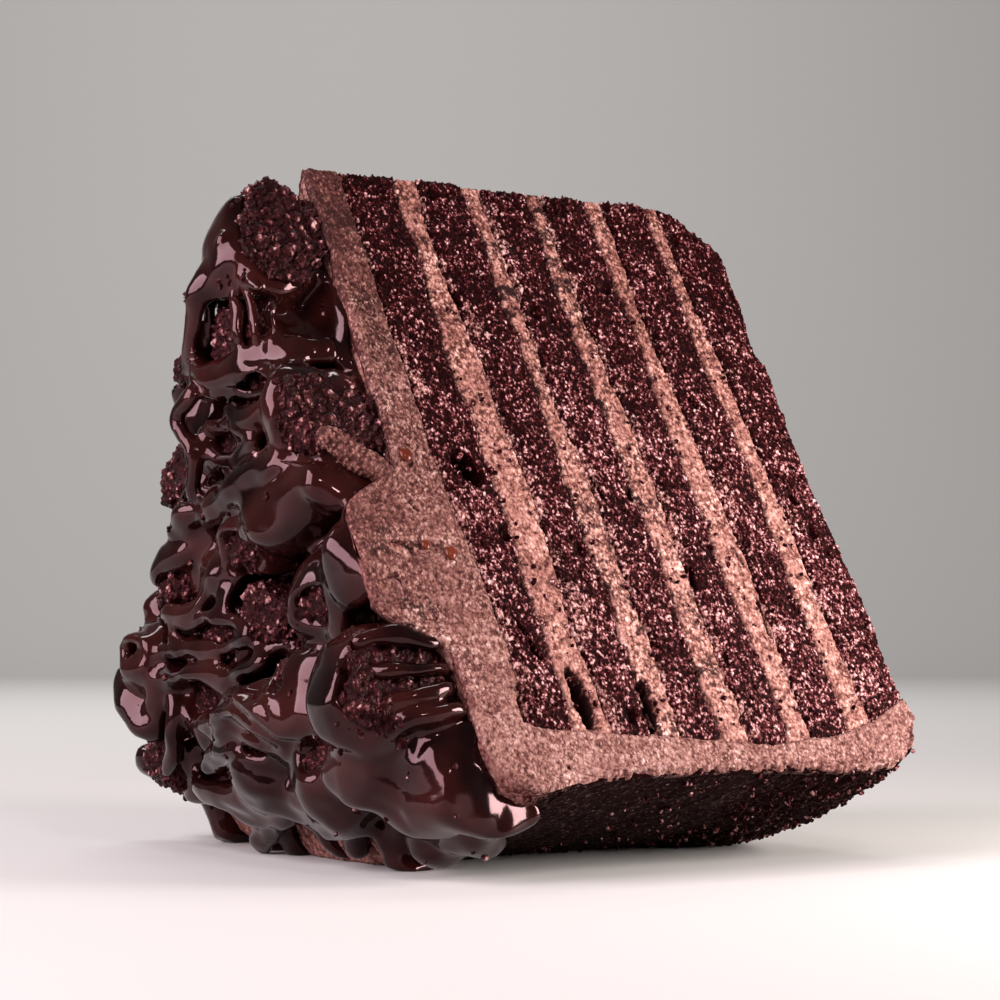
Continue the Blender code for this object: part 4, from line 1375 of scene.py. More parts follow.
LUMPS = (
    Lump((9, -13.5, 36.6), (5.6, 8.4, 3.4)),
    Lump((8.5, 11, 48), (8.6, 8.4, 7.6)),
    Lump((11, -8, 46.5), (7.4, 10, 4.8)),
    Lump((7, -27.5, 61), (8.6, 8.4, 5.4)),
    Lump((9.5, -17, 64), (9.6, 10.5, 8.6)),
    Lump((12.5, 12.5, 67), (5.4, 5.6, 7.4)),
    Lump((9, 4, 76), (8.4, 9, 6.6)),
    Lump((14, 19.5, 72.6), (4.6, 5.4, 4.4)),
    Lump((10, -22, 99.5), (8.8, 11, 6.4)),
    Lump((8.4, -42, 108), (8.2, 9.6, 7)),
    Lump((3.4, -48, 110), (6.6, 12, 9)),
    Lump((3, -54.5, 108), (5.6, 9, 9)),
    Lump((-4, -56, 114), (8.5, 8, 4.4)),
    Lump((-6.5, -46, 118.6), (7, 9, 3.6)),
    Lump((9, -38, 73), (6.4, 7, 8)),
    Lump((5.6, -22, 114), (6.2, 12, 6.4)),
    Lump((5, 3, 114.5), (6, 9, 5.6)),
    Lump((8.6, 33, 82), (7, 6.4, 6.4)),
    Lump((5.4, 26, 66), (6.4, 6.6, 7)),
    Lump((5, 45, 108), (6.4, 8, 6.6)),
)


class Rope(NamedTuple):
    """A run of fudge along a smooth curve: its radius and the points (out, across, down) that the curve passes."""

    radius: float
    points: tuple[Triple, ...]


STRANDS = (
    Rope(2.3, ((19, 4, 38.5), (17.5, -6, 40.2), (13.5, -15, 40.6), (8, -22, 41.6))),
    Rope(2.1, ((20, 0, 22), (18.6, 5, 33), (16.5, 13, 43), (14, 15, 52))),
    Rope(3.6, ((15.5, 5, 62.5), (16, -8, 59.5), (14.5, -19, 56.5), (9, -28, 55))),
    Rope(2.0, ((17, 24, 80), (15.5, 12, 81.6), (13.5, -2, 81), (11.5, -14, 78))),
    Rope(2.2, ((17.5, 24, 99), (16, 12, 92.6), (14.6, 0, 93.4), (13.5, -12, 90))),
    Rope(3.2, ((16.6, 4, 101), (16.8, -9, 98.8), (15.5, -21, 98), (12, -32, 99))),
    Rope(2.8, ((14, 6, 108), (13.6, -7, 104), (12.4, -19, 104.8), (9, -30, 106))),
    Rope(2.6, ((12.6, 15, 113), (11.4, 5, 113.6), (9.5, -6, 112.4), (7, -16, 113))),
)
RIDGES = (
    Rope(1.5, ((16, 4, 25), (16.2, 5, 30), (16.4, 6, 35), (18, 6, 39), (20, 4, 43), (21, 8, 47), (20, 7, 51),
               (19, 4.5, 55), (18.5, 6, 61))),
    Rope(0.95, ((17.4, -6, 25), (17.4, -7.6, 31), (16.6, -8, 37))),
    Rope(0.95, ((16.4, -9, 26), (15.8, -11, 32), (15, -11.4, 37))),
    Rope(1.1, ((18.4, -1, 37.4), (17.2, -7, 38), (15, -12.4, 37.8))),
    Rope(2.7, ((13.5, -14.4, 36), (10, -17.6, 36.2), (6, -18.4, 35.8), (2.6, -17.6, 35))),
    Rope(1.6, ((14, -13, 43.2), (10, -16.6, 42.6), (6, -19, 41.8), (2.6, -19.4, 40.8))),
    Rope(0.9, ((13.5, -14, 30), (13.4, -14.6, 35), (12.8, -13.2, 39.5))),
    Rope(0.9, ((16.4, 3, 37), (15.6, -3, 37.6), (14.2, -9.4, 37.8))),
    Rope(0.9, ((18, 10, 53), (18, 9, 58), (17.5, 11, 61), (17, 17, 64))),
    Rope(0.9, ((12, -13, 33), (13, -15, 37), (13.5, -14, 40))),
    Rope(1.0, ((17, 2, 37), (16.5, -6, 37), (15.5, -12, 38))),
    Rope(1.6, ((13, -18, 43), (11, -22, 42), (7, -26, 42))),
    Rope(1.3, ((18, 3, 42), (16, -7, 43), (13, -17, 45), (12, -18, 47))),
    Rope(1.5, ((17, 5, 51), (16.5, 2, 49), (16, -5, 49), (15, -10, 51), (15, -9, 53), (16, -4, 55), (17, 2, 54),
               (17, 5, 51))),
    Rope(3.3, ((14, -5, 59), (13, -15, 57), (11, -24, 56), (8, -31, 56), (6, -35, 58))),
    Rope(2.4, ((17, 4, 65), (17, 0, 62), (16, -6, 60), (15, -9, 61))),
    Rope(2.6, ((17, 16, 68), (17.5, 10, 65), (17, 7, 64))),
    Rope(2.4, ((17, 24, 75), (17.5, 19, 73), (17, 14, 72))),
    Rope(1.6, ((17, 18, 83), (17, 11, 81), (16, 5, 80))),
    Rope(1.2, ((17, 15, 84), (16.5, 7, 83), (15, -1, 83), (14, -8, 85), (14.5, -4, 87), (16, 6, 87), (17, 14, 86),
               (17, 15, 84))),
    Rope(1.3, ((18, 21, 89), (17, 15, 88), (16, 6, 88), (15, 2, 89), (16, 6, 91), (17, 14, 92), (18, 20, 91),
               (18, 21, 89))),
    Rope(1.4, ((21, 28, 89), (21, 25, 87), (20, 22, 87), (20, 21, 90), (21, 22, 92), (21.5, 26, 92),
               (21, 28, 89))),
    Rope(2.9, ((20, 31, 94), (20, 28, 98), (19.5, 25, 101), (19, 22, 103))),
    Rope(2.4, ((18.5, 21, 96), (18.5, 21, 100), (18.5, 22, 104))),
    Rope(2.2, ((17.5, 17, 98), (17.5, 16, 102), (17, 18, 108), (16.5, 21, 111))),
    Rope(1.7, ((20, 30, 96), (18.5, 19, 94), (16.5, 7, 92), (15, -1, 91))),
    Rope(1.3, ((11, -19, 79), (11, -22, 76.6), (10, -26, 75.6), (9, -29, 77.4))),
    Rope(1.0, ((11, -19.5, 84.6), (10.4, -23, 86.4), (9.6, -27, 86))),
    Rope(2.3, ((8, -33, 75), (9, -33, 79), (9, -34, 83), (10, -32, 87))),
    Rope(3.8, ((6, -50, 100), (4, -54.5, 102.5), (2.4, -57.5, 106), (0.5, -60, 110))),
    Rope(4.6, ((9.4, -42, 103.6), (8, -46.4, 104), (5.6, -50, 104.4), (3, -53, 105))),
    Rope(2.6, ((12, -29, 95), (12, -30, 98), (11, -32, 101), (9, -36, 104))),
    Rope(1.5, ((17, -1, 97), (16, -10, 95), (14, -21, 95), (12, -31, 96))),
    Rope(1.4, ((17.6, 1, 99), (17, -13, 97), (14.6, -25, 97), (11.5, -36, 99))),
    Rope(1.4, ((17.5, 0, 101), (17, -14, 101), (15, -26, 100), (11.5, -36, 101))),
    Rope(1.6, ((16, -1, 105), (15.5, -13, 104), (13.5, -22, 102), (12, -30, 103))),
    Rope(2.0, ((20, -5, 12), (18, -11, 11), (15, -14, 11))),
    Rope(1.4, ((17, -9, 24), (15, -14, 25), (13, -16, 23))),
    Rope(1.1, ((20, -6, 17), (19, -7, 15), (18, -10, 16), (18, -9, 18), (17, -11, 20), (16.5, -12, 17))),
    Rope(2.0, ((7, -10, 114), (5, -1, 118), (3, 9, 123))),
    Rope(1.8, ((7, -13, 114), (4, -16, 116), (2, -17, 118))),
    Rope(2.2, ((4, -24, 114), (2, -23, 117), (0, -21, 122))),
    Rope(2.0, ((1, -35, 113), (-1, -34, 118), (-3, -30, 122))),
)

SHELL_RIDGES = (
    Rope(1.8, ((13, -33, 96), (14.6, -40, 89.8), (15, -48.6, 86.4), (9, -50, 85.4), (3, -50.8, 86.6))),
    Rope(1.5, ((13, -34, 96.6), (15.4, -47, 92.6), (10.4, -52.6, 90.6), (5, -53.2, 90.8), (1.6, -53, 91.4))),
    Rope(1.5, ((13, -35, 97.4), (14.4, -50.4, 96.6), (9, -55.2, 95.4), (3, -55.4, 94.4))),
    Rope(1.8, ((12.4, -36, 98.4), (12.6, -51, 99.6), (7.4, -56.6, 98.8), (2, -57, 97.6))),
)
CAVITIES = (
    Lump((9, -14, 30.4), (6.4, 4.6, 2.4)),
    Lump((6, -16.8, 39), (5, 3.4, 1.4)),
)


class Drip(NamedTuple):
    """Fudge that ran over the rim: how far across, how thick, and how far it reaches down the wall."""

    across: float
    thick: float
    reach: float


DRIPS = (Drip(34, 3.4, 6), Drip(14, 2.2, 9), Drip(4, 1.8, 8), Drip(-11, 2.0, 10), Drip(-30, 3.0, 9),
         Drip(-41, 3.6, 7), Drip(-51, 3.8, 9))


def smooth_curve(points: Array, count: int) -> Array:
    """The Catmull-Rom curve through some points.

    Args:
        points: The points.
        count: How many points each span gets.

    Returns:
        The curve's points.
    """
    wide = np.concatenate([[2 * points[0] - points[1]], points, [2 * points[-1] - points[-2]]])
    at = np.linspace(0.0, len(points) - 1.0, (len(points) - 1) * count + 1)
    first = np.minimum(at.astype(int), len(points) - 2)
    t = (at - first)[:, None]
    p0, p1, p2, p3 = (wide[first + i] for i in range(4))
    bend = 2 * p0 - 5 * p1 + 4 * p2 - p3
    return (2 * p1 + (p2 - p0) * t + bend * t**2 + (3 * (p1 - p2) + p3 - p0) * t**3) / 2


def melted(first: Array, second: Array, soft: float) -> Array:
    """The smaller of two distances, rounded off where they differ by less than soft, by a quadratic blend."""
    share = np.clip(0.5 + 0.5 * (second - first) / soft, 0.0, 1.0)
    return second + (first - second) * share - soft * share * (1.0 - share)


def ball_distance(points: Array, half: Array) -> Array:
    """About how far points lie from an ellipsoid: k(k - 1)/g with k = |p/h| and g = |p/h²|."""
    reach, slope = (np.linalg.norm(points / size, axis=-1) for size in (half, half**2))
    return reach * (reach - 1.0) / np.maximum(slope, 1e-6)


@dataclass
class Field:
    """Distances to a body's skin on a grid of points (out, across, down), below 0 inside it."""

    low: Array
    high: Array
    step: float
    far: float = 6.0
    rope_wobble: Noise = Noise(0.14, 5.0, 1, 137)

    def __post_init__(self) -> None:
        """Starts with nothing in the grid."""
        self.shape = tuple(int(n) for n in np.ceil((self.high - self.low) / self.step))
        self.values = np.full(self.shape, self.far)

    def part(self, low: Array, high: Array) -> tuple[tuple[slice, ...], Array]:
        """The part of the grid in a box.

        Args:
            low: The box's low corner.
            high: Its high corner.

        Returns:
            The part's slices, and its points.
        """
        start = np.clip(((low - self.low) / self.step).astype(int), 0, self.shape)
        end = np.clip(((high - self.low) / self.step).astype(int) + 2, 0, self.shape)
        axes = [self.low[i] + self.step * np.arange(start[i], end[i]) for i in range(3)]
        window = tuple(slice(a, b) for a, b in zip(start, end))
        return window, np.stack(np.meshgrid(*axes, indexing="ij"), -1)

    def add(self, low: Array, high: Array, distance: Callable[[Array], Array], soft: float) -> None:
        """Melts a body into this one. The body lies in a box, and distance gives its distances."""
        window, points = self.part(low - self.far, high + self.far)
        self.values[window] = melted(self.values[window], distance(points), soft)

    def carve(self, low: Array, high: Array, distance: Callable[[Array], Array], soft: float) -> None:
        """Takes a body in a box away from this one."""
        window, points = self.part(low - self.far, high + self.far)
        self.values[window] = -melted(-self.values[window], distance(points), soft)

    def add_ball(self, middle: Array, half: Array, soft: float, turn: Array = UNTURNED) -> None:
        """Melts in an ellipsoid."""
        reach = np.full(3, half.max())
        self.add(middle - reach, middle + reach, lambda p: ball_distance((p - middle) @ turn, half), soft)

    def add_rope(self, rope: Rope, soft: float) -> None:
        """Melts in a rope as short straight runs between places on its curve, thinner towards its ends.

        Args:
            rope: The rope.
            soft: How far it melts in.
        """
        curve = smooth_curve(np.array(rope.points, float), 5)
        closed = rope.points[0] == rope.points[-1]
        share = np.linspace(0.0, 1.0, len(curve))
        taper = np.ones(len(curve)) if closed else 0.7 + 0.3 * np.sin(np.pi * share) ** 0.5
        radii = rope.radius * taper * (1.0 + self.rope_wobble.at(curve))
        window, points = self.part(curve.min(0) - rope.radius - 3.0, curve.max(0) + rope.radius + 3.0)
        nearest = np.full(points.shape[:-1], 9.0)
        for a, b, ra, rb in zip(curve[:-1], curve[1:], radii[:-1], radii[1:]):
            run = b - a
            at = np.clip((points - a) @ run / (run @ run), 0.0, 1.0)
            gap = np.linalg.norm(points - a - at[..., None] * run, axis=-1) - (ra + (rb - ra) * at)
            nearest = np.minimum(nearest, gap)
        self.values[window] = melted(self.values[window], nearest, soft)

    def close_box(self) -> None:
        """Sets all six sides of the grid to outside, so that the skin is closed."""
        for axis in range(3):
            edge = [slice(None)] * 3
            for place in (0, -1):
                edge[axis] = place
                self.values[tuple(edge)] = self.far

    def skin(self) -> Skin:
        """The surface at 0 by surface nets: a point in each cube that it crosses, at the mean of the crossings
        of the cube's edges, and a quad round each grid edge that it crosses.

        Returns:
            The skin.
        """
        inside = self.values < 0.0
        count = np.zeros(tuple(n - 1 for n in self.shape), np.int8)
        for corner in np.ndindex(2, 2, 2):
            count += inside[tuple(slice(c, c + n - 1) for c, n in zip(corner, self.shape))]
        cubes = np.argwhere((count > 0) & (count < 8))
        index = np.full(count.shape, -1)
        index[tuple(cubes.T)] = np.arange(len(cubes))
        total, number = np.zeros((len(cubes), 3)), np.zeros(len(cubes))
        for axis in range(3):
            for pair in np.ndindex(2, 2):
                start = np.insert(np.array(pair), axis, 0)
                end = np.insert(np.array(pair), axis, 1)
                a = self.values[tuple((cubes + start).T)]
                b = self.values[tuple((cubes + end).T)]
                crossed = (a < 0.0) != (b < 0.0)
                share = np.where(crossed, a / np.where(crossed, a - b, 1.0), 0.0)
                total += crossed[:, None] * (start + share[:, None] * (end - start))
                number += crossed
        points = self.low + self.step * (cubes + total / number[:, None])
        quads = []
        for axis in range(3):
            first, second = (inside[tuple(slice(s, n - 1 + s) if i == axis else slice(1, n - 1)
                                          for i, n in enumerate(self.shape))] for s in (0, 1))
            crossed = np.argwhere(first != second)
            offset = np.where(np.arange(3) == axis, 0, 1)
            one, two = np.eye(3, dtype=int)[[(axis + 1) % 3, (axis + 2) % 3]]
            around = [index[tuple((crossed + offset - step).T)] for step in (one + two, two, 0 * one, one)]
            quad = np.stack(around, -1)
            quads.append(np.where(first[tuple(crossed.T)][:, None], quad, quad[:, ::-1]))
        return Skin(points, np.concatenate(quads)).turned_outwards()


def warped(points: Array) -> Array:
    """Points moved by slow noise of two sizes, so that no ball or box among them stays regular."""
    shift = [1.3 * soft_noise(points, 9.0, 211 + i) + 0.6 * soft_noise(points, 4.2, 221 + i) for i in range(3)]
    return points + np.stack(shift, -1)


def chunk_turn(chunk: Chunk) -> Array:
    """Turns a chunk's own axes to (out, across, down). Its angles are about X, minus out, Y, and Z, minus down."""
    turns = [Matrix.Rotation(math.radians(angle), 3, axis) for angle, axis in zip(chunk.turn, "XYZ")]
    return np.diag([-1.0, 1.0, -1.0]) @ np.array(turns[0] @ turns[1] @ turns[2])


def chunk_bare(chunk: Chunk) -> tuple[Array, float]:
    """The way a chunk's bare side faces, and how far the chunk reaches that way."""
    way = np.array(chunk.bare) / np.linalg.norm(chunk.bare)
    return way, 1.0 / math.sqrt(((way / np.array(chunk.half)) ** 2).sum())


@dataclass
class Topping:
    """Chunks of cake piled on the top icing, and the hot fudge poured over them."""

    cake: Slice
    crumb: Material
    fudge: Material
    squareness: float = 3.4
    chunk_step: float = 0.42
    chunk_waves: Noise = Noise(0.9, 1.2, 2, 149)
    chunk_crumbs: Crumbs = Crumbs((0.6, 2.3, 151), (0.4, 1.05, 157))
    crumb_relief: float = 2.0
    hidden_depth: float = 1.5
    coat: float = 1.5
    coated_share: float = 1.1
    poke: float = 2.6
    window_rise: float = 0.45
    window_edge: Noise = Noise(0.3, 4.0, 1, 179)
    window_lift: float = 1.3
    grid_step: float = 0.68
    box: tuple[Triple, Triple] = ((-13.0, -62.0, -1.5), (25.5, 62.0, 127.0))
    sheet_box: tuple[Triple, Triple] = ((-9.0, -70.0, -5.0), (25.0, 70.0, 130.0))
    soft: float = 2.6
    ridge_soft: float = 1.5
    cut_soft: float = 3.2
    cut_recess: float = 1.5
    cut_swing: Noise = Noise(0.8, 7.0, 1, 191)
    cut_margin: float = 9.0
    sheet: Triple = (-2.0, 3.8, 118.0)
    sheet_edge: Pair = (2.0, 10.0)
    drip_path: tuple[Triple, ...] = (
        (3.0, 0.0, -14.0), (1.5, 0.0, -9.0), (0.0, -0.05, -5.0), (0.0, -0.2, -2.0), (0.0, -0.45, 0.4),
        (0.0, -0.8, 1.0))
    smoothing: int = 2
    bed_end: float = 112.0
    folds: Noise = Noise(1.0, 3.6, 1, 173)
    fold_height: float = 0.4
    fold_stretch: float = 0.35
    waves: Noise = Noise(0.22, 5.0, 2, 167)
    smooth_mass: Triple = (3.0, -50.0, 107.0)
    smooth_reach: Pair = (9.0, 17.0)
    roll: Triple = (15.0, -11.0, 99.5)
    roll_stretch: float = 1.7
    roll_reach: Pair = (6.0, 10.0)
    groove_pitch: float = 3.7
    groove_depth: float = 0.42
    groove_bend: float = 0.018
    groove_middle: float = -6.0
    bare_lift: float = 2.4
    bare_border: float = 0.3
    bare_swing: Noise = Noise(1.6, 4.5, 1, 269)
    floor_gap: float = 0.02

    def inside_slice(self, points: Array, from_cuts: float, from_icing: float) -> Array:
        """Moves points inside both cuts and out from the top icing.

        Args:
            points: Points (out, across, down).
            from_cuts: How far inside the cuts.
            from_icing: How far out from the icing.

        Returns:
            The moved points.
        """
        for side in Side:
            points = self.cake.drawn_in(points, side, from_cuts)
        points[:, 0] = np.maximum(points[:, 0], self.icing_level(points) + from_icing)
        return points

    def icing_level(self, points: Array) -> Array:
        """How far out the top icing is under points (out, across, down)."""
        angle = np.degrees(np.arctan2(points[..., 1], np.maximum(points[..., 2], 0.001)))
        return self.cake.flap(np.hypot(points[..., 1], points[..., 2]), angle)

    def squared(self, ways: Array) -> Array:
        """How far points lie out in a superellipsoid of half size 1."""
        return (np.abs(ways) ** self.squareness).sum(-1) ** (1.0 / self.squareness)

    def chunk_distance(self, chunk: Chunk, points: Array) -> Array:
        """About how far points lie from a chunk's rounded box, by its superellipsoid.

        Args:
            chunk: The chunk.
            points: Points (out, across, down).

        Returns:
            Distances, below 0 inside it.
        """
        local = (points - np.array(chunk.middle)) @ chunk_turn(chunk)
        reach = self.squared(local / np.array(chunk.half))
        return np.linalg.norm(local, axis=-1) * (1.0 - 1.0 / np.maximum(reach, 1e-6))

    def opening(self, chunk: Chunk) -> Array:
        """The middle of the window in the fudge over a chunk, a little out from its bare side."""
        way, reach = chunk_bare(chunk)
        return np.array(chunk.middle) + way * (reach + self.window_rise * chunk.window)

    def cube_grid(self, count: int) -> tuple[Array, Indices]:
        """A cube's sides as grids, spaced by equal angles and joined along its edges.

        Args:
            count: How many squares a side has each way.

        Returns:
            The points, from -1 to 1, and the quads.
        """
        share = np.tan(np.linspace(-1.0, 1.0, count + 1) * math.pi / 4.0)
        u, v = np.meshgrid(share, share, indexing="ij")
        sides = []
        for axis in range(3):
            for sign in (-1.0, 1.0):
                pair = (u, v) if sign > 0.0 else (v, u)
                sides.append(np.stack(np.roll([np.full_like(u, sign), *pair], axis, axis=0), -1))
        cube = np.stack(sides).reshape(-1, 3)
        rounded = np.round(cube * 4096.0).astype(int)
        _, kept, back = np.unique(rounded, axis=0, return_index=True, return_inverse=True)
        grid = back.reshape(6, count + 1, count + 1)
        quads = np.stack([grid[:, :-1, :-1], grid[:, 1:, :-1], grid[:, 1:, 1:], grid[:, :-1, 1:]], -1)
        return cube[kept], quads.reshape(-1, 4)

    def chunk_skin(self, chunk: Chunk, seed: int) -> Skin:
        """A chunk: a cube's grid drawn onto its rounded box, held inside the slice, with packed crumbs on
        it, and sunk where fudge covers it.

        Args:
            chunk: The chunk.
            seed: Gives it waves of its own.

        Returns:
            The skin.
        """
        way, quads = self.cube_grid(int(1.5 * max(chunk.half) / self.chunk_step))
        unit = way / self.squared(way)[:, None]
        rough = self.chunk_waves.at(unit * 2.0 + seed)[:, None]
        middle = np.array(chunk.middle)
        points = middle + (unit * (np.array(chunk.half) + rough)) @ chunk_turn(chunk).T
        skin = Skin(self.inside_slice(warped(points), chunk.from_cuts, 0.1), quads).turned_outwards()
        crumbs = self.chunk_crumbs.at(skin.points)
        fine = crumb_height(skin.points, 0.6, 163)
        bare, reach = chunk_bare(chunk)
        shown = ease(-0.5 * reach, 0.1 * reach, (skin.points - middle) @ bare)
        if chunk.window:
            from_opening = np.linalg.norm(skin.points - self.opening(chunk), axis=1)
            shown = shown * (1.0 - ease(1.1 * chunk.window, 1.5 * chunk.window, from_opening))
        # Painted shade in the clefts between the crumbs.
        skin.values["hollow"] = np.clip(1.0 - 1.35 * crumbs - 0.3 * fine, 0.0, 1.0)
        skin.values["smear"] = np.zeros(len(skin.points))
        height = self.crumb_relief * (crumbs - 0.42) + 0.35 * (fine - 0.5)
        skin.pushed(height - self.hidden_depth * (1.0 - shown))
        skin.points[:, 0] = np.maximum(skin.points[:, 0], self.icing_level(skin.points) + 0.05)
        return skin

    def add_masses(self, body: Field) -> None:
        """Pours the fudge: coats round the chunks, lumps, the sheet between them, drips and strands.

        Args:
            body: The fudge.
        """
        cake = self.cake
        for chunk in CHUNKS:
            way, _ = chunk_bare(chunk)
            middle = np.array(chunk.middle) - (0.0 if chunk.window else self.poke) * way
            half = self.coated_share * np.array(chunk.half) + self.coat
            body.add_ball(middle, half, self.soft, chunk_turn(chunk))
        for lump in LUMPS:
            body.add_ball(np.array(lump.middle), np.array(lump.half), self.soft)
        under, over, end = self.sheet
        window, points = body.part(*(np.array(corner) for corner in self.sheet_box))
        level = self.icing_level(points)
        radius = np.hypot(points[..., 1], points[..., 2])
        _, outward = cake.cut_frame(Side.NEAR)
        over = 1.0 + (over - 1.0) * ease(*self.sheet_edge, -points[..., 1:] @ outward)
        slab = np.maximum(points[..., 0] - level - over, level + under - points[..., 0])
        slab = np.maximum(slab, np.maximum(radius - end, cake.tip_radius + 2.0 - radius))
        body.values[window] = melted(body.values[window], slab, self.soft)
        for drip in DRIPS:
            edge = math.sqrt(cake.wall_radius**2 - drip.across**2)
            path = tuple((out + share * drip.reach, drip.across, edge + down)
                         for out, share, down in self.drip_path)
            body.add_rope(Rope(drip.thick, path), self.soft)
        for strand in STRANDS:
            body.add_rope(strand, self.soft)

    def open_windows(self, body: Field) -> None:
        """Opens the fudge where the chunks show: a ragged round window, or the whole bare side.

        Args:
            body: The fudge.
        """
        for chunk in CHUNKS:
            way, reach = chunk_bare(chunk)
            middle = np.array(chunk.middle)
            if chunk.window:
                opening = self.opening(chunk)
                body.carve(opening - chunk.window, opening + chunk.window,
                           lambda p: np.linalg.norm(p - opening, axis=-1)
                           - chunk.window * (1.0 + self.window_edge.at(p)), 1.6)
            lift = self.window_lift if chunk.window else -self.bare_lift
            border = 1.0 if chunk.window else self.bare_border * reach
            body.carve(middle - 14.0, middle + 14.0, lambda p: np.maximum(
                self.chunk_distance(chunk, p) + lift,
                border + self.bare_swing.at(p) - (p - middle) @ way), 0.9)
        for cavity in CAVITIES:
            middle, half = np.array(cavity.middle), np.array(cavity.half)
            body.carve(middle - half, middle + half, lambda p: ball_distance(p - middle, half), 1.2)

    def fold(self, body: Field) -> None:
        """Moves the skin by slow folds and waves, less on the smooth mass, and by a sine's rows on the roll.

        Args:
            body: The fudge.
        """
        _, points = body.part(body.low, body.high)
        close = np.abs(body.values) < 3.0
        spots = points[close]
        folds = self.folds.at(spots * np.array([1.0, self.fold_stretch, 1.0]))
        from_roll = (spots - np.array(self.roll)) / np.array([1.0, self.roll_stretch, 1.0])
        from_roll = np.linalg.norm(from_roll, axis=-1)
        bent = spots[..., 2] - self.groove_bend * (spots[..., 1] - self.groove_middle) ** 2
        rows = np.sin(2.0 * math.pi * bent / self.groove_pitch)
        body.values[close] += self.groove_depth * rows * (1.0 - ease(*self.roll_reach, from_roll))
        from_mass = np.linalg.norm(spots - np.array(self.smooth_mass), axis=-1)
        folds *= 0.15 + 0.85 * ease(*self.smooth_reach, from_mass)
        body.values[close] += self.waves.at(spots) + self.fold_height * folds

    def trim(self, body: Field) -> None:
        """Cuts the fudge off at its bed on the icing, and softly a little inside both cuts.

        Args:
            body: The fudge.
        """
        _, points = body.part(body.low, body.high)
        radius = np.hypot(points[..., 1], points[..., 2])
        below = self.icing_level(points) + self.sheet[0] - points[..., 0]
        body.values = np.maximum(body.values, np.minimum(below, self.bed_end - radius))
        for side in Side:
            _, outward = self.cake.cut_frame(side)
            past = points[..., 1:] @ outward
            close = np.abs(past) < self.cut_margin
            recess = past[close] + self.cut_recess + self.cut_swing.at(points[close])
            body.values[close] = -melted(-body.values[close], -recess, self.cut_soft)
            body.values[past >= self.cut_margin] = body.far

    def fudge_field(self) -> Field:
        """The poured fudge: masses less openings, then ridges and threads, folds, and the knife's cuts.

        Returns:
            Its distances.
        """
        body = Field(np.array(self.box[0]), np.array(self.box[1]), self.grid_step)
        self.add_masses(body)
        self.open_windows(body)
        for ridge in RIDGES:
            body.add_rope(ridge, min(self.ridge_soft, 0.9 * ridge.radius))
        self.fold(body)
        self.trim(body)
        for ridge in SHELL_RIDGES:
            body.add_rope(ridge, 0.8 * ridge.radius)
        _, points = body.part(body.low, body.high)
        body.values = np.maximum(body.values, points[..., 2] - self.cake.axis_height + self.floor_gap)
        body.close_box()
        return body

    def build(self) -> Skin:
        """Makes the chunks and the fudge.

        Returns:
            The fudge's skin.
        """
        for number, chunk in enumerate(CHUNKS):
            node = f"chunk_{number + 1:02d}"
            skin = self.chunk_skin(chunk, number)
            make_piece(self.cake, "crumbs_of_" + node, skin, self.crumb, (node,))
        skin = self.fudge_field().skin().smoothed(self.smoothing)
        skin.points = warped(skin.points)
        skin.points[:, 2] = np.minimum(skin.points[:, 2], self.cake.axis_height - self.floor_gap)
        make_piece(self.cake, "fudge_poured", skin, self.fudge, ("fudge",))
        return skin


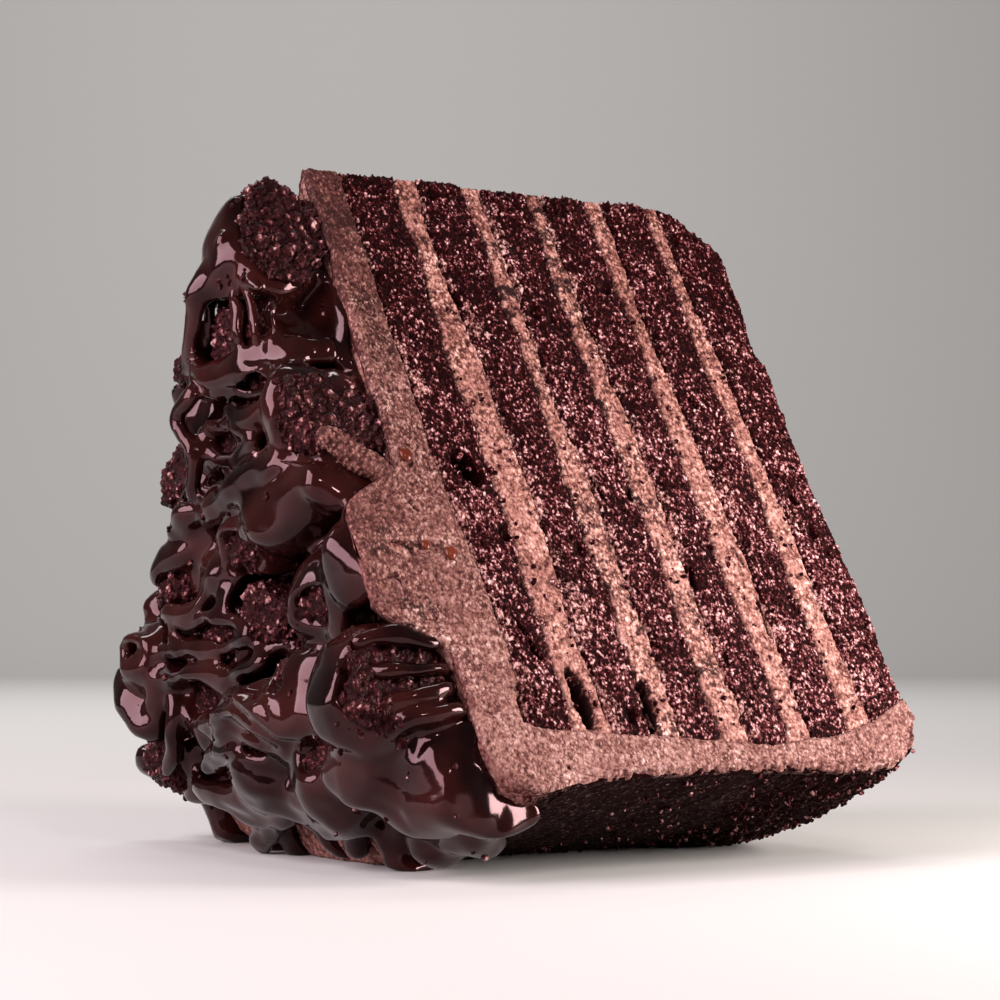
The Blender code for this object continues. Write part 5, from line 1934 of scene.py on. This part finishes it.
@dataclass
class LooseBits:
    """What clings to the slice: loose crumbs as meshes of small lumps, and a few drops of syrup."""

    cake: Slice
    crumb: Material
    soaked_and_shaded: Material
    syrup: Material
    seed: int = 7
    cut_crumbs: int = 600
    wall_crumbs: int = 700
    wall_reach: float = 60.0
    fudge_crumbs: int = 150
    sizes: Pair = (0.2, 0.62)
    hollow: float = 0.15
    drops: tuple[Triple, ...] = ((5.1, 84.0, 1.1), (2.3, 64.3, 1.2), (0.7, 82.5, 0.8))
    drop_shape: Triple = (1.0, 1.25, 0.6)

    def dry_spots(self, random: np.random.Generator) -> Array:
        """Random places on both cuts, even over their area, and on the wall, more of them at its end.

        Args:
            random: Gives the numbers.

        Returns:
            Places (out, across, down).
        """
        cake = self.cake
        parts = []
        for side in Side:
            away, outward = cake.cut_frame(side)
            along = random.uniform(cake.layer_ends[0], cake.height - 1.5, self.cut_crumbs)
            radius = cake.inner(along) * np.sqrt(random.uniform(0.01, 0.97, self.cut_crumbs))
            level = radius[:, None] * away + random.uniform(-0.2, 0.2, (self.cut_crumbs, 1)) * outward
            parts.append(np.column_stack([-along, level]))
        along = cake.wall_end - self.wall_reach * random.uniform(0.0, 1.0, self.wall_crumbs) ** 1.5
        angle = random.uniform(cake.near_cut, cake.far_cut, self.wall_crumbs)
        parts.append(cake.round_point(along, cake.outer(along) + 0.2, angle))
        return np.concatenate(parts)

    def lumps(self, middles: Array, random: np.random.Generator) -> Skin:
        """A lump of twenty faces at each place, of random size, shape and turn.

        Args:
            middles: The places.
            random: Gives the numbers.

        Returns:
            One skin with all of them.
        """
        ball = bmesh.new()
        bmesh.ops.create_icosphere(ball, subdivisions=1, radius=1.0)
        corners = np.array([vertex.co for vertex in ball.verts])
        faces = np.array([[vertex.index for vertex in face.verts] for face in ball.faces])
        ball.free()
        count = len(middles)
        turns = np.linalg.qr(random.normal(size=(count, 3, 3)))[0]
        size = random.uniform(*self.sizes, (count, 1, 1)) * random.uniform(0.7, 1.3, (count, 1, 3))
        shape = corners * random.uniform(0.75, 1.2, (count, len(corners), 1))
        points = middles[:, None] + (shape * size) @ turns
        triangles = faces + len(corners) * np.arange(count)[:, None, None]
        no_quads = np.zeros((0, 4), np.int64)
        skin = Skin(points.reshape(-1, 3), no_quads, triangles.reshape(-1, 3)).turned_outwards()
        skin.values = {"hollow": np.full(len(skin.points), self.hollow), "smear": np.zeros(len(skin.points))}
        return skin

    def drop(self, along: float, radius: float, half: float) -> Skin:
        """A flat round drop on the near cut: a ball from its polar and its round angle, pressed flat.

        Args:
            along: Its along.
            radius: Its distance from the tip.
            half: Half its width.

        Returns:
            The skin.
        """
        polar = np.linspace(0.1, math.pi - 0.1, 12)[:, None]
        around = np.linspace(0.0, 2.0 * math.pi, 24, endpoint=False)[None, :]
        ball = (np.sin(polar) * np.cos(around), np.sin(polar) * np.sin(around), np.cos(polar))
        local = np.stack(np.broadcast_arrays(*ball), -1) * half * np.array(self.drop_shape)
        away, outward = self.cake.cut_frame(Side.NEAR)
        axes = np.stack([[-1.0, 0.0, 0.0], [0.0, *away], [0.0, *outward]])
        return closed_tube(np.array([-along, *(radius * away + 0.2 * outward)]) + local @ axes)

    def build(self, poured: Skin) -> None:
        """Makes the crumbs and the drops. The soaked ones lie at random points of the fudge and the next two.

        Args:
            poured: The fudge's skin.
        """
        random = np.random.default_rng(self.seed)
        dry = self.dry_spots(random)
        picked = random.integers(0, len(poured.points) - 3, self.fudge_crumbs)
        wet = np.concatenate([poured.points[picked + step] for step in range(3)])
        kinds = (("loose_crumbs", dry, self.crumb, "sponge"), ("soaked_crumbs", wet, self.soaked_and_shaded, "chunk"))
        for name, spots, finish, slot in kinds:
            crumbs = self.lumps(spots, random)
            crumbs.points[:, 2] = np.minimum(crumbs.points[:, 2], self.cake.axis_height)
            make_piece(self.cake, name, crumbs, finish)
        drops = joined([self.drop(*drop) for drop in self.drops])
        make_piece(self.cake, "syrup_drops", drops, self.syrup)


@dataclass(frozen=True)
class PhotoCamera:
    """The camera that the photograph was taken with, as fitted to the slice's edges."""

    focal_pixels: float = 2410.3
    azimuth: float = -32.66
    elevation: float = -3.06
    place_mm: Triple = (-204.39, -385.40, 40.83)

    def build(self, cake: Slice) -> None:
        """Makes the scene's camera. Its place is from the tip's foot, on the axis of the cake at the top icing.

        Args:
            cake: The slice, which says where that foot is.
        """
        azimuth, elevation = math.radians(self.azimuth), math.radians(self.elevation)
        level = math.cos(elevation)
        back = Vector((math.sin(azimuth) * level, -math.cos(azimuth) * level, math.sin(elevation)))
        right = (-back).cross(Vector((0.0, 0.0, 1.0))).normalized()
        data = bpy.data.cameras.new("photo_camera")
        data.sensor_width = SENSOR_MM
        data.lens = self.focal_pixels * SENSOR_MM / IMAGE_SIDE
        camera = put_in_scene("photo_camera", data)
        where = Vector(self.place_mm) + Vector((cake.top_x, cake.axis_y, 0.0))
        axes = Matrix((right, right.cross(-back), back)).transposed().to_4x4()
        camera.matrix_world = Matrix.Translation(where * MM) @ axes
        bpy.context.scene.camera = camera


class Lamp(NamedTuple):
    """A square softbox: where it stands, what it is aimed at and its side, in metres, its power in watts, and its
    colour."""

    name: str
    place: Triple
    aim: Triple
    side: float
    power: float
    colour: str


@dataclass(frozen=True)
class Studio:
    """A plain pale floor that curves up behind, and soft lights."""

    floor_colour: str = "#bbb8b5"
    floor_roughness: float = 0.7
    reach: float = 2.2
    bend: float = 0.6
    bend_points: int = 13
    lamps: tuple[Lamp, ...] = (
        Lamp("key", (0.20, -0.23, 0.10), (0.01, -0.02, 0.05), 0.14, 2.0, "#fff6f2"),
        Lamp("left_box", (-0.55, -0.04, 0.32), (-0.04, 0.0, 0.06), 0.5, 9.5, "#f6eaf2"),
        Lamp("spark", (-0.12, -0.46, 0.34), (-0.04, -0.02, 0.05), 0.05, 0.55, "#fff6f4"),
        Lamp("backdrop_box", (0.1, 0.6, 1.1), (0.7, 1.4, 0.3), 0.9, 20.0, "#ffffff"),
    )
    world_colour: str = "#ffffff"
    world_strength: float = 0.13

    def make_floor(self) -> None:
        """Makes the floor: a straight line with a quarter circle and a wall behind, drawn out sideways."""
        made, _, shader = new_material("pale_paper_backdrop")
        shader.inputs["Base Color"].default_value = linear(self.floor_colour)
        shader.inputs["Roughness"].default_value = self.floor_roughness
        turn = np.linspace(0.0, math.pi / 2.0, self.bend_points)
        curve = zip(self.reach - self.bend + self.bend * np.sin(turn), self.bend - self.bend * np.cos(turn))
        profile = [(-self.reach, 0.0), *curve, (self.reach, self.reach)]
        away = Matrix.Rotation(math.radians(PhotoCamera().azimuth), 4, "Z")
        points = [away @ Vector((side * self.reach, y, z)) for y, z in profile for side in (-1.0, 1.0)]
        faces = [(2 * i, 2 * i + 1, 2 * i + 3, 2 * i + 2) for i in range(len(profile) - 1)]
        mesh = bpy.data.meshes.new("backdrop")
        mesh.from_pydata(points, [], faces)
        mesh.materials.append(made)
        mesh.shade_smooth()
        put_in_scene("backdrop", mesh)

    def build(self) -> None:
        """Makes the floor, the lamps and the world."""
        self.make_floor()
        for lamp in self.lamps:
            data = bpy.data.lights.new(lamp.name, "AREA")
            data.energy, data.size, data.color = lamp.power, lamp.side, linear(lamp.colour)[:3]
            light = put_in_scene(lamp.name, data)
            light.location = lamp.place
            aim = Vector(lamp.aim) - Vector(lamp.place)
            light.rotation_euler = aim.to_track_quat("-Z", "Y").to_euler()
        world = bpy.data.worlds.new("studio")
        world.use_nodes = True
        sky = world.node_tree.nodes["Background"]
        sky.inputs["Color"].default_value = linear(self.world_colour)
        sky.inputs["Strength"].default_value = self.world_strength
        bpy.context.scene.world = world
        bpy.context.scene.view_settings.view_transform = "Standard"


def main() -> None:
    """Builds the pieces in order."""
    logging.basicConfig(level=logging.INFO, format="%(name)s %(message)s")
    cake = Slice()
    sponge = CrumbFinish().make()
    frosting = FrostingFinish().make()
    icing = FrostingFinish(
        name="spread_fudge_icing",
        stops=((0.0, "#341615"), (0.25, "#5e3833"), (0.5, "#8a635b"), (0.75, "#af9089"), (1.0, "#dccac5")),
        veil=((0.0, "#1f0806"),),
        contrast=(0.35, 0.75),
        grain_mm=0.4,
    ).make()
    # The wall's icing: darker colours than the cut icing, as painted shade of the wall, which faces down.
    wall = FrostingFinish(
        name="fudge_icing_wall_painted_shade",
        stops=((0.0, "#341816"), (0.25, "#5c3532"), (0.5, "#845a53"), (0.75, "#a37c74"), (1.0, "#c9a8a1")),
        veil=((0.0, "#120202"),),
        contrast=(0.3, 0.7),
        roughness=(0.6, 0.85),
        reflection="#7c4a46",
        ior=1.18,
    ).make()
    # Chunk crumbs: darker than the sponge, soaked in fudge and with painted shade of the hollows they lie in.
    soaked_and_shaded = CrumbFinish(
        name="fudge_soaked_sponge_painted_shade",
        stops=((0.0, "#0c0102"), (0.35, "#1f0708"), (0.55, "#391518"), (0.8, "#623538"), (1.0, "#a47d80")),
        grain_mm=0.72,
        roughness=(0.16, 0.6),
        reflection="#a86063",
        ior=1.42,
        bump_mm=0.5,
    ).make()
    syrup = PouredFinish(name="moist_syrup", dark="#3a130a", light="#5a2615", roughness=0.2).make()
    PhotoCamera().build(cake)
    Studio().build()
    LayerStack(cake, sponge, frosting).build()
    Icing(cake, icing, wall).build()
    poured = Topping(cake, soaked_and_shaded, PouredFinish().make()).build()
    LooseBits(cake, sponge, soaked_and_shaded, syrup).build(poured)


if __name__ == "__main__":
    main()
